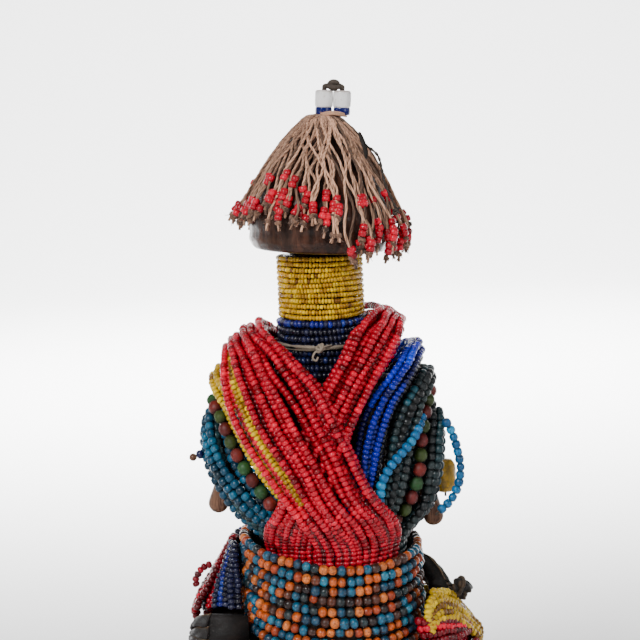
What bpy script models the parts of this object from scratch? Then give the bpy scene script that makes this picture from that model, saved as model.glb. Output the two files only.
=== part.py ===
"""Namji doll: a carved wooden figure dressed in bead strands, a bead belt, a fringed cap and leather.

The doll is seen from behind along +Y, and it faces +Y. Lengths are in millimetres until they reach Blender,
which takes metres. The origin is the centre of the underside of the low carved base.
"""

import math

import bmesh
import bpy
from mathutils import Matrix, Vector

MM = 0.001
CLEARANCE = 0.35
OBJECT_NAME = "namji_doll"

# Carved base, feet and legs
BASE_HEIGHT = 10.0
BASE_HALF_WIDTH = 41.0
BASE_HALF_DEPTH = 34.0
BASE_EDGE = 2.0
LEG_LENGTH = 47.0
LEG_SPREAD = 15.5
THIGH_RADIUS = 14.0
KNEE_RADIUS = 11.5
ANKLE_RADIUS = 9.5
FOOT_LENGTH = 30.0
FOOT_WIDTH = 19.0
FOOT_HEIGHT = 8.0
FOOT_SUNK = 2.0
FOOT_EDGE = 2.5

# Carved trunk and arms
WAIST_HALF_WIDTH = 19.2
WAIST_HALF_DEPTH = 16.6
HIP_HALF_WIDTH = 31.5
HIP_HALF_DEPTH = 29.0
CHEST_HALF_WIDTH = 27.0
CHEST_HALF_DEPTH = 17.5
SHOULDER_RADIUS = 10.0
SHOULDER_REACH = 28.5
UPPER_ARM_RADIUS = 6.6
ELBOW_RADIUS = 5.0
HAND_RADIUS = 4.2
LEFT_HAND_REACH = 45.0
RIGHT_HAND_REACH = 41.8
LEFT_HAND_DROP = 78.5
RIGHT_HAND_DROP = 87.5

# Neck and head
NECK_WOOD_RADIUS = 14.6
NECK_SEGMENTS = 12
NECK_ROW_PITCH = 2.06
NECK_ROWS = 12
NECK_BEAD = 2.0
NECK_LIFT = 0.6
COLLAR_ROW_PITCH = 2.85
COLLAR_ROWS = 8
COLLAR_BEAD = 2.7
COLLAR_FLARE = 2.2
HEAD_RADIUS = 28.0
HEAD_BOWL_HEIGHT = 7.0
HEAD_DOME_HEIGHT = 46.5
HEAD_TILT = 4.0
DOME_GAP = 1.4
HEAD_SEAT = 1.8
NOSE_LENGTH = 12.0
NOSE_RADIUS = 3.0
EYE_RADIUS = 3.0
EYE_SPACING = 18.0
EYE_LIFT = 3.5
MOUTH_WIDTH = 11.0
MOUTH_DROP = 9.5
FACE_HEIGHT = 9.0

# Bead strands of the trunk
DRAPE_HEIGHT = 89.0
SEED_RADIUS = 1.6
FINE_RADIUS = 1.5
ROUND_RADIUS = 1.9
BIG_RADIUS = 2.65
CORE_CORD_RADIUS = 1.4
TUCK_SHARE = -0.09

# Belt and hips
BELT_ROWS = 9
BELT_ROW_PITCH = 4.25
BELT_BEAD = 4.0
BELT_DIP = 4.0
BELT_TILT = 3.0
BELT_SEGMENTS = 18
HIP_GAP = 1.4
HIP_SPREAD = 20.0
HIP_ROWS = 5
HIP_ROW_PITCH = 4.8

# Cap fringe and its top knot
FRINGE_RADIUS = 35.2
FRINGE_TOP_RADIUS = 4.6
FRINGE_THICKNESS = 1.8
FRINGE_LIFT = 0.8
FRINGE_FALL = 42.0
FRINGE_LOCKS = 16
LOCK_SPREAD = 0.22
WHITE_BEAD_RADIUS = 3.4
WHITE_BEAD_HEIGHT = 6.6
BLUE_BEAD_RADIUS = 3.1
BLUE_BEAD_HEIGHT = 2.7
THONG_RADIUS = 1.1
THONG_KNOT_SIZE = (4.6, 3.6, 2.9)
TIE_RADIUS = 0.8
TIE_KNOT_SIZE = (5.4, 3.0, 3.2)
TIE_TAIL = 5.6
TIE_SHARE = 0.44
HEAD_CORD_RADIUS = 0.6

# Loose and single pieces at the sides
LOOP_RADIUS = 1.7
LOOP_REACH = 8.3
HIP_LOOP_REACH = 5.7
AMBER_RADIUS = 4.3
AMBER_LENGTH = 13.6
AMBER_GAP = 1.0
AMBER_FORWARD = 1.5
PEG_RADIUS = 1.9
PEG_LENGTH = 3.4
STRAP_TURNS = 3
STRAP_THICKNESS = 1.3
STRAP_KNOT_SIZE = (8.0, 7.0, 8.0)
STRAP_KNOT_REACH = 4.6
STRAP_KNOT_SHARE = 0.622

# The wound beads' flats, and not only their corners, stand clear of the wooden neck
NECK_INNER = (NECK_WOOD_RADIUS + CLEARANCE) / math.cos(math.pi / NECK_SEGMENTS)

# Heights above the underside, each stacked on the one before
LEG_TOP = BASE_HEIGHT + LEG_LENGTH
HIP_ROWS_TOP = LEG_TOP + HIP_ROWS * HIP_ROW_PITCH
BELT_LOWEST = BELT_DIP + BELT_TILT ** 2 / (4 * BELT_DIP)
BELT_BOTTOM = HIP_ROWS_TOP + BELT_LOWEST + 2 * CLEARANCE
BELT_TOP = BELT_BOTTOM + BELT_ROWS * BELT_ROW_PITCH
DRAPE_TOP = BELT_TOP + DRAPE_HEIGHT
NECK_BOTTOM = DRAPE_TOP + NECK_LIFT
NECK_TOP = NECK_BOTTOM + NECK_ROWS * NECK_ROW_PITCH
COLLAR_BOTTOM = NECK_BOTTOM - COLLAR_ROWS * COLLAR_ROW_PITCH
SHOULDER_HEIGHT = COLLAR_BOTTOM - 2 * CLEARANCE
HEAD_RIM = NECK_TOP + HEAD_BOWL_HEIGHT
HEAD_TOP = HEAD_RIM + HEAD_DOME_HEIGHT

# Outline of the strands: share of the drape's height, then the half-width, half-depth and drop of a strand's
# centre line
INNER_DRAPE = (
    (-0.12, 24.0, 21.5, 0.0),
    (0.00, 24.0, 21.5, 0.0),
    (0.15, 39.5, 27.0, 0.0),
    (0.30, 46.6, 28.0, 0.0),
    (0.45, 47.4, 27.5, 0.0),
    (0.60, 45.3, 26.0, 0.0),
    (0.75, 41.5, 23.5, -1.5),
    (0.87, 33.0, 20.8, -6.0),
    (1.00, 22.5, 19.2, -9.5),
)
OUTER_DRAPE = (
    (-0.12, 30.9, 28.6, 0.0),
    (0.00, 30.9, 28.6, 0.0),
    (0.15, 44.0, 34.9, 0.0),
    (0.30, 51.5, 35.9, 0.0),
    (0.45, 54.5, 35.2, 0.0),
    (0.60, 53.0, 33.8, 0.0),
    (0.75, 47.5, 31.2, 0.0),
    (0.87, 38.6, 27.4, 0.0),
    (0.94, 31.0, 24.8, 0.0),
    (1.00, 20.6, 21.6, 0.0),
)
DRAPE_LEAN = ((-0.12, 0.0), (0.15, 0.6), (0.30, -0.5), (0.45, -1.7), (0.60, -1.7), (0.87, 0.0), (1.0, 0.0))

# The belt's flats, and not only its corners, stand clear of the strands tucked under it and of the carved hips
BELT_CORNER_RATIO = 1 / math.cos(math.pi / BELT_SEGMENTS)
HELD_HALF_WIDTH = max(OUTER_DRAPE[1][1] + SEED_RADIUS, HIP_HALF_WIDTH)
HELD_HALF_DEPTH = max(OUTER_DRAPE[1][2] + SEED_RADIUS, HIP_HALF_DEPTH)
BELT_HALF_WIDTH = (HELD_HALF_WIDTH + CLEARANCE) * BELT_CORNER_RATIO + BELT_BEAD / 2
BELT_HALF_DEPTH = (HELD_HALF_DEPTH + CLEARANCE) * BELT_CORNER_RATIO + BELT_BEAD / 2

# Outline of the strands round the hips: share of the height from the leg top to the belt top, then how far it
# reaches beyond the belt at the sides, on the side seen and on the far side, as shares of the hips' spread
HIP_OUTLINE = (
    (0.00, 0.312, -0.221, -0.121),
    (0.15, 0.837, -0.046, 0.254),
    (0.33, 1.002, -0.021, 0.429),
    (0.45, 0.862, -0.071, 0.449),
    (0.60, 0.682, -0.071, 0.399),
    (0.76, 0.392, -0.041, 0.299),
    (0.90, 0.172, -0.001, 0.199),
    (1.00, 0.057, 0.029, 0.159),
)
HIP_LEAN = (
    (0.0, 0.0), (0.33, -0.015), (0.45, -0.1), (0.60, -0.2), (0.76, -0.16), (0.90, -0.08), (1.0, 0.0),
)

# Routes of the trunk's bead bundles, from the belt up over the shoulder: degrees round the body and share of
# the drape's height. The seen side is at -90, the left side at -180 and the right side at 0.
RED_OVER_NECK_EDGE = (
    (-36, 0.0), (-54, 0.12), (-70, 0.27), (-80, 0.52), (-90, 0.73), (-102, 0.83), (-120, 0.92),
    (-150, 0.97),
    (-180, 0.985),
)
RED_OVER_ARM_EDGE = (
    (-100, 0.0), (-104, 0.11), (-108, 0.22), (-117, 0.41), (-130, 0.59), (-142, 0.73),
    (-155, 0.815), (-168, 0.86),
    (-180, 0.873),
)
RED_UNDER_NECK_EDGE = (
    (-146, 0.0), (-131, 0.10), (-115, 0.22), (-101, 0.46), (-90, 0.70), (-80, 0.85), (-64, 0.95),
    (-34, 0.985),
    (0, 0.985),
)
RED_UNDER_ARM_EDGE = (
    (-104, 0.0), (-97, 0.10), (-91, 0.20), (-82, 0.42), (-73, 0.60), (-62, 0.75), (-46, 0.86), (-24, 0.925),
    (0, 0.935),
)
YELLOW_NECK_EDGE = (
    (-97, 0.0), (-103, 0.19), (-110, 0.36), (-120, 0.54), (-133, 0.66), (-147, 0.745),
    (-163, 0.795), (-180, 0.82),
)
YELLOW_ARM_EDGE = (
    (-108, 0.0), (-114, 0.20), (-123, 0.345), (-134, 0.50), (-145, 0.59), (-156, 0.665),
    (-168, 0.715), (-180, 0.745),
)
BIG_LEFT_ROUTE = (
    (-117, 0.0), (-123, 0.20), (-131, 0.345), (-139, 0.455), (-147, 0.54), (-156, 0.595),
    (-168, 0.632), (-180, 0.648),
)
TURQUOISE_NECK_EDGE = (
    (-128, 0.0), (-134, 0.16), (-141, 0.27), (-148, 0.335), (-154, 0.41), (-163, 0.49),
    (-172, 0.565), (-180, 0.595),
)
TURQUOISE_ARM_EDGE = (
    (-155, 0.0), (-158, 0.13), (-161, 0.215), (-165, 0.28), (-169, 0.34), (-174, 0.40),
    (-178, 0.46), (-180, 0.50),
)
BLUE_NECK_EDGE = (
    (-86, 0.0), (-76, 0.33), (-70, 0.52), (-63, 0.64), (-56, 0.738), (-45, 0.81), (-27, 0.87), (0, 0.885),
)
BLUE_ARM_EDGE = (
    (-74, 0.0), (-66, 0.30), (-59, 0.49), (-52, 0.60), (-43, 0.69), (-34, 0.765), (-20, 0.815), (0, 0.83),
)
TEAL_NECK_EDGE = (
    (-62, 0.0), (-60, 0.22), (-56, 0.40), (-51, 0.51), (-43, 0.605), (-34, 0.682), (-22, 0.745), (0, 0.765),
)
TEAL_INNER_EDGE = (
    (-51, 0.0), (-52, 0.19), (-50, 0.34), (-45, 0.44), (-37, 0.545), (-27, 0.635), (-14, 0.695), (0, 0.715),
)
BIG_RIGHT_ROUTE = (
    (-41, 0.0), (-41, 0.19), (-38, 0.33), (-34, 0.44), (-28, 0.525), (-21, 0.59), (-11, 0.635), (0, 0.65),
)
TEAL_OUTER_EDGE = (
    (-27, 0.0), (-28, 0.17), (-29, 0.28), (-27, 0.36), (-23, 0.45), (-17, 0.51), (-9, 0.555), (0, 0.58),
)
TEAL_ARM_EDGE = (
    (-13, 0.0), (-15, 0.12), (-17, 0.21), (-17, 0.28), (-16, 0.335), (-13, 0.385), (-8, 0.435), (0, 0.48),
)

# Routes on the hips: degrees round the body and share of the height from the leg top to the belt top
HIP_RED_LEFT_FAR = ((-192, 0.99), (-192, 0.83), (-191, 0.64), (-190, 0.455))
HIP_RED_LEFT_NEAR = ((-184, 0.99), (-177, 0.86), (-170, 0.73), (-164, 0.605))
HIP_BLUE_LEFT_FAR = ((-178, 0.99), (-171, 0.86), (-164, 0.74), (-158, 0.625))
HIP_BLUE_LEFT_NEAR = ((-170, 0.99), (-164, 0.86), (-157, 0.74), (-152, 0.625))
HIP_YELLOW_TOP = ((-24, 0.69), (-11, 0.57), (4, 0.505), (18, 0.54), (32, 0.54), (46, 0.505), (60, 0.45))
HIP_YELLOW_BOTTOM = ((-28, 0.58), (-12, 0.51), (4, 0.44), (18, 0.42), (32, 0.41), (46, 0.40), (60, 0.39))
HIP_RED_RIGHT_TOP = ((-46, 0.565), (-38, 0.55), (-26, 0.50), (-16, 0.455), (-8, 0.425))
HIP_RED_RIGHT_BOTTOM = ((-46, 0.395), (-36, 0.395), (-25, 0.395), (-16, 0.395), (-8, 0.395))
STRAP_TOP = (
    (-150, 0.615), (-165, 0.56), (-178, 0.475), (-190, 0.42), (-215, 0.465), (-240, 0.53), (-270, 0.61),
    (-295, 0.68), (-318, 0.74), (-335, 0.77), (-350, 0.725), (-361, 0.685),
)
STRAP_BOTTOM = (
    (-150, 0.375), (-165, 0.375), (-178, 0.375), (-190, 0.375), (-215, 0.38), (-240, 0.39), (-270, 0.42),
    (-295, 0.48), (-318, 0.57), (-335, 0.61), (-350, 0.615), (-361, 0.605),
)
HIP_FAR_LEFT_EDGE = ((-198, 0.99), (-198, 0.82), (-198, 0.64), (-198, 0.46))
HIP_FAR_RIGHT_EDGE = ((-318, 0.99), (-318, 0.92), (-318, 0.85), (-318, 0.78))

# Places of the loose pieces on the strands that they hang from: degrees round the body, share of the height and,
# for a loop, how far it stands off as a share of its reach
LOOP_PLACES = (
    (-17.4, 0.518, 0.62), (-14.5, 0.448, 0.77), (-12.5, 0.376, 0.84), (-10.7, 0.314, 0.93),
    (-9.9, 0.252, 1.0), (-11.3, 0.198, 0.96), (-14.7, 0.163, 0.84), (-19.0, 0.143, 0.80),
)
HIP_LOOP_PLACES = (
    (-174.2, 0.834, 0.55), (-173.9, 0.795, 0.93), (-173.7, 0.739, 1.0), (-173.5, 0.704, 0.77),
    (-173.3, 0.687, 0.36),
)
PEG_PLACE = (-174.9, 0.402)
AMBER_ARM_SHARE = 0.37

# Places of the thin cord at the cap: x, y and height below the head's top
HEAD_CORD_PLACES = (
    (16.0, -12.8, -9.5), (21.2, -13.4, -13.5), (23.0, -16.0, -18.5), (24.6, -18.2, -25.0),
    (29.0, -20.8, -34.0),
)

# Colours of the materials: red, green, blue
WOOD_COLOUR = (0.05, 0.026, 0.017)
RED_COLOUR = (0.55, 0.012, 0.025)
YELLOW_COLOUR = (0.62, 0.42, 0.03)
NAVY_COLOUR = (0.012, 0.018, 0.06)
BLUE_COLOUR = (0.012, 0.03, 0.36)
TURQUOISE_COLOUR = (0.02, 0.19, 0.33)
TEAL_COLOUR = (0.045, 0.11, 0.125)
MIXED_COLOUR = (0.2, 0.06, 0.05)
ORANGE_COLOUR = (0.55, 0.15, 0.05)
WHITE_COLOUR = (0.78, 0.76, 0.74)
AMBER_COLOUR = (0.42, 0.2, 0.015)
CORD_COLOUR = (0.28, 0.15, 0.09)
SINEW_COLOUR = (0.33, 0.28, 0.22)
LEATHER_COLOUR = (0.022, 0.017, 0.014)


def clear_scene():
    """Empty the file, so that only the doll is in it."""
    for item in list(bpy.data.objects):
        bpy.data.objects.remove(item, do_unlink=True)


def new_collection(name):
    """Return a fresh collection linked to the scene."""
    collection = bpy.data.collections.new(name)
    bpy.context.scene.collection.children.link(collection)
    return collection


def new_material(name, colour, roughness):
    """Return a Principled material with a plain colour."""
    material = bpy.data.materials.new(name)
    material.use_nodes = True
    shader = material.node_tree.nodes["Principled BSDF"]
    shader.inputs["Base Color"].default_value = (*colour, 1.0)
    shader.inputs["Roughness"].default_value = roughness
    shader.inputs["Metallic"].default_value = 0.0
    material.diffuse_color = (*colour, 1.0)
    return material


def smooth_read(stations, place):
    """Read a table of stations at one place with a smooth cubic through its rows."""
    count = len(stations)
    row = 0
    while row < count - 2 and place > stations[row + 1][0]:
        row += 1

    def slope(index, column):
        before = max(index - 1, 0)
        after = min(index + 1, count - 1)
        rise = stations[after][column] - stations[before][column]
        return rise / (stations[after][0] - stations[before][0])

    span = stations[row + 1][0] - stations[row][0]
    step = (place - stations[row][0]) / span
    start_weight = 2 * step**3 - 3 * step**2 + 1
    start_slope_weight = step**3 - 2 * step**2 + step
    end_weight = -2 * step**3 + 3 * step**2
    end_slope_weight = step**3 - step**2
    values = []
    for column in range(1, len(stations[0])):
        value = start_weight * stations[row][column] + end_weight * stations[row + 1][column]
        value += start_slope_weight * span * slope(row, column)
        value += end_slope_weight * span * slope(row + 1, column)
        values.append(value)
    return values


def drape_point(angle, share, layer):
    """Point of a trunk strand's centre line: layer 0 lies on the body, and layer 1 two strands above it."""
    inner_width, inner_depth, inner_drop = smooth_read(INNER_DRAPE, share)
    outer_width, outer_depth, outer_drop = smooth_read(OUTER_DRAPE, share)
    lean = smooth_read(DRAPE_LEAN, share)[0]
    width = inner_width + (outer_width - inner_width) * layer
    depth = inner_depth + (outer_depth - inner_depth) * layer
    drop = inner_drop + (outer_drop - inner_drop) * layer
    turn = math.radians(angle)
    height = BELT_TOP + share * DRAPE_HEIGHT + drop
    return Vector((width * math.cos(turn) + lean, depth * math.sin(turn), height))


def hip_point(angle, share, layer):
    """Point of the hip strands: layer 1 is their outline, and layer 0 the belt or what is below it."""
    wider, near_deeper, far_deeper = smooth_read(HIP_OUTLINE, share)
    turn = math.radians(angle)
    deeper = near_deeper if math.sin(turn) < 0 else far_deeper
    lean = smooth_read(HIP_LEAN, share)[0]
    height = LEG_TOP + share * (BELT_TOP - LEG_TOP)
    core_width = BELT_HALF_WIDTH + BELT_BEAD / 2 + HIP_GAP
    core_depth = BELT_HALF_DEPTH + BELT_BEAD / 2 + HIP_GAP
    core = Vector((core_width * math.cos(turn), core_depth * math.sin(turn), height))
    reach = Vector((wider * math.cos(turn) + lean, deeper * math.sin(turn), 0.0)) * HIP_SPREAD
    return core + reach * layer


def belt_point(angle, share, layer):
    """Point of the belt: share runs from its bottom to its top edge, and layer 0 is its bead centres."""
    turn = math.radians(angle)
    dip = BELT_DIP * max(0.0, -math.sin(turn)) ** 2
    height = BELT_BOTTOM + share * (BELT_TOP - BELT_BOTTOM) - dip - BELT_TILT * math.cos(turn)
    return Vector((
        (BELT_HALF_WIDTH + layer) * math.cos(turn),
        (BELT_HALF_DEPTH + layer) * math.sin(turn),
        height,
    ))


def surface_normal(surface, angle, share, layer):
    """Outward normal of a surface, from its own small differences."""
    around = surface(angle + 0.5, share, layer) - surface(angle - 0.5, share, layer)
    upward = surface(angle, share + 0.004, layer) - surface(angle, share - 0.004, layer)
    return around.cross(upward).normalized()


def standing_off(surface, angle, share, layer, distance):
    """Point at a distance outside a surface, along its outward normal."""
    return surface(angle, share, layer) + surface_normal(surface, angle, share, layer) * distance


def whole_arch(route, tucked=True):
    """Continue a route over the shoulder and down the far side to the belt, as its mirror image."""
    crest = route[-1][0]
    near = list(route)
    if tucked:
        near.insert(0, (route[0][0], TUCK_SHARE))
    far = [(2 * crest - angle, share) for angle, share in reversed(near[:-1])]
    return near + far


def arch_layer(share, layers, climb):
    """Layer of a bundle under the belt, on the chest and at the shoulder, with a smooth climb between."""
    belt_layer, chest_layer, shoulder_layer = layers
    step = min(max((share - climb[0]) / (climb[1] - climb[0]), 0.0), 1.0)
    settle = min(max(share / 0.3, 0.0), 1.0)
    chest = belt_layer + (chest_layer - belt_layer) * settle * settle * (3 - 2 * settle)
    return chest + (shoulder_layer - chest) * step * step * (3 - 2 * step)


def mesh_object(name, rings, collection, closed=False, cap=None):
    """Join rings of points, each with as many points, into one closed skin.

    An open run gets end caps: one flat face each, or the faces that cap lists by their point numbers.
    """
    mesh = bmesh.new()
    rows = [[mesh.verts.new(point * MM) for point in ring] for ring in rings]
    pairs = list(zip(rows, rows[1:]))
    if closed:
        pairs.append((rows[-1], rows[0]))
    for row, following in pairs:
        for index in range(len(row)):
            after = (index + 1) % len(row)
            mesh.faces.new((row[index], row[after], following[after], following[index]))
    if not closed:
        for face in cap or [tuple(range(len(rows[0])))]:
            mesh.faces.new([rows[0][number] for number in reversed(face)])
            mesh.faces.new([rows[-1][number] for number in face])
    bmesh.ops.triangulate(mesh, faces=[face for face in mesh.faces if len(face.verts) > 4])
    bmesh.ops.recalc_face_normals(mesh, faces=mesh.faces)
    if mesh.calc_volume(signed=True) < 0:
        bmesh.ops.reverse_faces(mesh, faces=mesh.faces)
    data = bpy.data.meshes.new(name)
    mesh.to_mesh(data)
    mesh.free()
    item = bpy.data.objects.new(name, data)
    collection.objects.link(item)
    return item


def finish_piece(item, material, sharp_degrees=50.0):
    """Give a piece its material and smooth shading with crisp edges."""
    item.data.materials.clear()
    item.data.materials.append(material)
    item.data.shade_smooth()
    item.data.set_sharp_from_angle(angle=math.radians(sharp_degrees))
    return item


def finish_curve(item, material):
    """Give a cord's curve its material."""
    item.data.materials.append(material)


def strand_band(name, surface, edges, count, radius, layers, collection, closed=False, backing=None):
    """Make a bundle of side-by-side strands as one solid with a ridge for each strand.

    The strands run between the two edge routes. layers holds a function of the height share for each edge.
    Without backing the bundle is one strand thick, and with backing it reaches in to that layer.
    """
    rings = []
    for (first_angle, first_share), (last_angle, last_share) in zip(*edges):
        centres = []
        for index in range(count):
            step = index / (count - 1)
            angle = first_angle + (last_angle - first_angle) * step
            share = first_share + (last_share - first_share) * step
            layer = layers[0](share) * (1 - step) + layers[1](share) * step
            centres.append((angle, share, layer))
        points = [surface(*centre) for centre in centres]
        normals = [surface_normal(surface, *centre) for centre in centres]
        first_side = (points[0] - points[1]).normalized() * radius
        last_side = (points[-1] - points[-2]).normalized() * radius
        ridge = [points[0] + first_side]
        for index in range(count):
            ridge.append(points[index] + normals[index] * radius)
            if index < count - 1:
                valley_normal = (normals[index] + normals[index + 1]).normalized()
                ridge.append((points[index] + points[index + 1]) / 2 + valley_normal * radius * 0.25)
        ridge.append(points[-1] + last_side)
        if backing is None:
            inner = [points[index] - normals[index] * radius for index in range(count)]
        else:
            held = (centres[0], centres[-1]) if closed else centres
            inner = [surface(angle, share, backing) for angle, share, _ in held]
            inner[0] += first_side
            inner[-1] += last_side
        rings.append(ridge + inner[::-1])
    if closed:
        return mesh_object(name, rings, collection, closed)
    cap = []
    last_inner = len(rings[0]) - 1
    for index in range(count):
        held = last_inner - index
        cap.append((held, 2 * index, 2 * index + 1))
        cap.append((held, 2 * index + 1, 2 * index + 2))
        if index < count - 1:
            cap.append((held, 2 * index + 2, held - 1))
    return mesh_object(name, rings, collection, closed, cap)


def bead_strand(name, route, layer, bead_radius, bead_span, collection, bead_gaps=2, sides=4):
    """Make one strand that swells into big round beads within bead_span's shares, on the side seen."""
    arch = whole_arch(route)
    rings = []
    for index in range(len(arch) - 1):
        steps = bead_gaps if index <= len(route) else 1
        for step in range(steps):
            along = step / steps
            rings.append((
                arch[index][0] + (arch[index + 1][0] - arch[index][0]) * along,
                arch[index][1] + (arch[index + 1][1] - arch[index][1]) * along,
            ))
    rings.append(arch[-1])
    sections = []
    for number, (angle, share) in enumerate(rings):
        centre = drape_point(angle, share, layer)
        before = drape_point(*rings[max(number - 1, 0)], layer)
        after = drape_point(*rings[min(number + 1, len(rings) - 1)], layer)
        along = (after - before).normalized()
        outward = surface_normal(drape_point, angle, share, layer)
        across = along.cross(outward).normalized()
        beaded = bead_span[0] < share < bead_span[1] and number % 2 == 0 and number <= 2 * len(route)
        radius = bead_radius if beaded else CORE_CORD_RADIUS
        section = []
        for side in range(sides):
            turn = 2 * math.pi * side / sides
            section.append(centre + (outward * math.cos(turn) + across * math.sin(turn)) * radius)
        sections.append(section)
    return mesh_object(name, sections, collection)


def turned_object(name, profile, segments, collection):
    """Turn a profile of radius and height, given from its top to its bottom, round the vertical axis."""
    data = bpy.data.meshes.new(name)
    points = [(radius * MM, 0.0, height * MM) for radius, height in profile]
    data.from_pydata(points, [(index, index + 1) for index in range(len(points) - 1)], [])
    item = bpy.data.objects.new(name, data)
    collection.objects.link(item)
    screw = item.modifiers.new("Turn", "SCREW")
    screw.steps = segments
    screw.render_steps = segments
    screw.use_merge_vertices = True
    screw.merge_threshold = 0.00001
    return item


def ribbed_ring(name, bottom, top, rows, inner_radius, bead, flare, segments, collection):
    """Turn a ring of bead rows: one ridge a row, and wider by the flare at its bottom."""
    pitch = (top - bottom) / rows
    profile = [(inner_radius, top)]
    for row in range(rows):
        spread = flare * ((row + 0.5) / rows) ** 2
        upper = top - row * pitch
        profile.append((inner_radius + bead * 0.62 + spread, upper))
        profile.append((inner_radius + bead + spread, upper - pitch / 2))
    profile.append((inner_radius + bead * 0.62 + flare, bottom))
    profile.append((inner_radius, bottom))
    profile.append((inner_radius, top))
    return turned_object(name, profile, segments, collection)


def tube_object(name, points, radius, collection, resolution=1):
    """Make a round cord along a smooth run of points."""
    curve = bpy.data.curves.new(name, "CURVE")
    curve.dimensions = "3D"
    curve.bevel_depth = radius * MM
    curve.bevel_resolution = resolution
    curve.use_fill_caps = True
    spline = curve.splines.new("POLY")
    spline.points.add(len(points) - 1)
    for place, point in zip(spline.points, points):
        place.co = (*(Vector(point) * MM), 1.0)
    item = bpy.data.objects.new(name, curve)
    collection.objects.link(item)
    return item


def curve_to_mesh(item):
    """Turn a cord's curve into a closed mesh, so that it can be joined to another piece."""
    evaluated = item.evaluated_get(bpy.context.evaluated_depsgraph_get())
    data = bpy.data.meshes.new_from_object(evaluated)
    welded = bmesh.new()
    welded.from_mesh(data)
    bmesh.ops.remove_doubles(welded, verts=welded.verts, dist=0.000001)
    bmesh.ops.recalc_face_normals(welded, faces=welded.faces)
    welded.to_mesh(data)
    welded.free()
    solid = bpy.data.objects.new(item.name + "_solid", data)
    solid.matrix_world = item.matrix_world
    for collection in item.users_collection:
        collection.objects.link(solid)
    name = item.name
    bpy.data.objects.remove(item, do_unlink=True)
    solid.name = name
    return solid


def primitive(kind, name, collection, location, size, segments=12, rings=8):
    """Make a sphere, cylinder or box of the given full size at a place."""
    mesh = bmesh.new()
    if kind == "sphere":
        bmesh.ops.create_uvsphere(mesh, u_segments=segments, v_segments=rings, radius=0.5)
    elif kind == "cylinder":
        bmesh.ops.create_cone(mesh, cap_ends=True, segments=segments, radius1=0.5, radius2=0.5, depth=1.0)
    else:
        bmesh.ops.create_cube(mesh, size=1.0)
    scale = Matrix.Diagonal((*(Vector(size) * MM), 1.0))
    bmesh.ops.transform(mesh, matrix=scale, verts=mesh.verts)
    data = bpy.data.meshes.new(name)
    mesh.to_mesh(data)
    mesh.free()
    item = bpy.data.objects.new(name, data)
    item.location = Vector(location) * MM
    collection.objects.link(item)
    return item


def join_by(item, other, operation):
    """Join another solid to a piece, or cut it away, and keep that solid out of the model."""
    boolean = item.modifiers.new(operation.title(), "BOOLEAN")
    boolean.operation = operation
    boolean.solver = "EXACT"
    boolean.object = other
    other.hide_render = True
    other.display_type = "WIRE"


def body_rings(stations, segments=24):
    """Give the rings of a carved body from rows of height, half-width and half-depth."""
    rings = []
    for height, half_width, half_depth in stations:
        ring = []
        for index in range(segments):
            turn = 2 * math.pi * index / segments
            ring.append(Vector((half_width * math.cos(turn), half_depth * math.sin(turn), height)))
        rings.append(ring)
    return rings


def limb(name, places, collection, sides=8):
    """Make a tapered limb with rounded ends through places of centre and radius."""
    centres = [Vector(centre) for centre, _ in places]
    radii = [radius for _, radius in places]
    start = (centres[0] - centres[1]).normalized()
    end = (centres[-1] - centres[-2]).normalized()
    centres = [centres[0] + start * radii[0] * 0.8] + centres + [centres[-1] + end * radii[-1] * 0.8]
    radii = [radii[0] * 0.5] + radii + [radii[-1] * 0.5]
    rings = []
    for index, centre in enumerate(centres):
        along = (centres[min(index + 1, len(centres) - 1)] - centres[max(index - 1, 0)]).normalized()
        forward = Vector((0, 1, 0))
        across = forward.cross(along).normalized()
        forward = along.cross(across).normalized()
        ring = []
        for side in range(sides):
            turn = 2 * math.pi * side / sides
            ring.append(centre + (across * math.cos(turn) + forward * math.sin(turn)) * radii[index])
        rings.append(ring)
    return mesh_object(name, rings, collection)


def fringe_radius(height):
    """Outer radius of the cap's cords at a height."""
    fall = min(max((HEAD_TOP + FRINGE_LIFT - height) / FRINGE_FALL, 0.0), 1.0)
    return FRINGE_TOP_RADIUS + (FRINGE_RADIUS - FRINGE_TOP_RADIUS) * fall ** 0.64


def head_profile():
    """Turned outline of the head, from the top of its dome under the cap of cords down to the neck."""
    dome = [(0.0, HEAD_TOP - DOME_GAP / 2)]
    for share in (0.0, 0.08, 0.2, 0.38, 0.58, 0.78, 0.94):
        height = HEAD_TOP - HEAD_DOME_HEIGHT * share
        room = fringe_radius(height) - FRINGE_THICKNESS - DOME_GAP
        dome.append((min(room, HEAD_RADIUS), height - DOME_GAP))
    bowl = [
        (HEAD_RADIUS, HEAD_RIM - HEAD_BOWL_HEIGHT * 0.1),
        (HEAD_RADIUS * 0.975, HEAD_RIM - HEAD_BOWL_HEIGHT * 0.45),
        (HEAD_RADIUS * 0.89, HEAD_RIM - HEAD_BOWL_HEIGHT * 0.78),
        (NECK_INNER + NECK_BEAD, NECK_TOP + HEAD_SEAT),
        (NECK_WOOD_RADIUS - 1.5, NECK_TOP + HEAD_SEAT),
        (NECK_WOOD_RADIUS - 4.0, NECK_TOP - 2 * HEAD_SEAT),
        (0.0, NECK_TOP - 2 * HEAD_SEAT),
    ]
    return dome + bowl


def arm_joints(reach, drop):
    """Shoulder, elbow and hand of an arm, each as its distance from the middle and its height."""
    shoulder = Vector((SHOULDER_REACH, SHOULDER_HEIGHT - SHOULDER_RADIUS))
    hand = Vector((reach, DRAPE_TOP - drop + HAND_RADIUS))
    elbow = Vector((shoulder.x + (hand.x - shoulder.x) * 0.45, (shoulder.y + hand.y) / 2))
    return shoulder, elbow, hand


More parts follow.
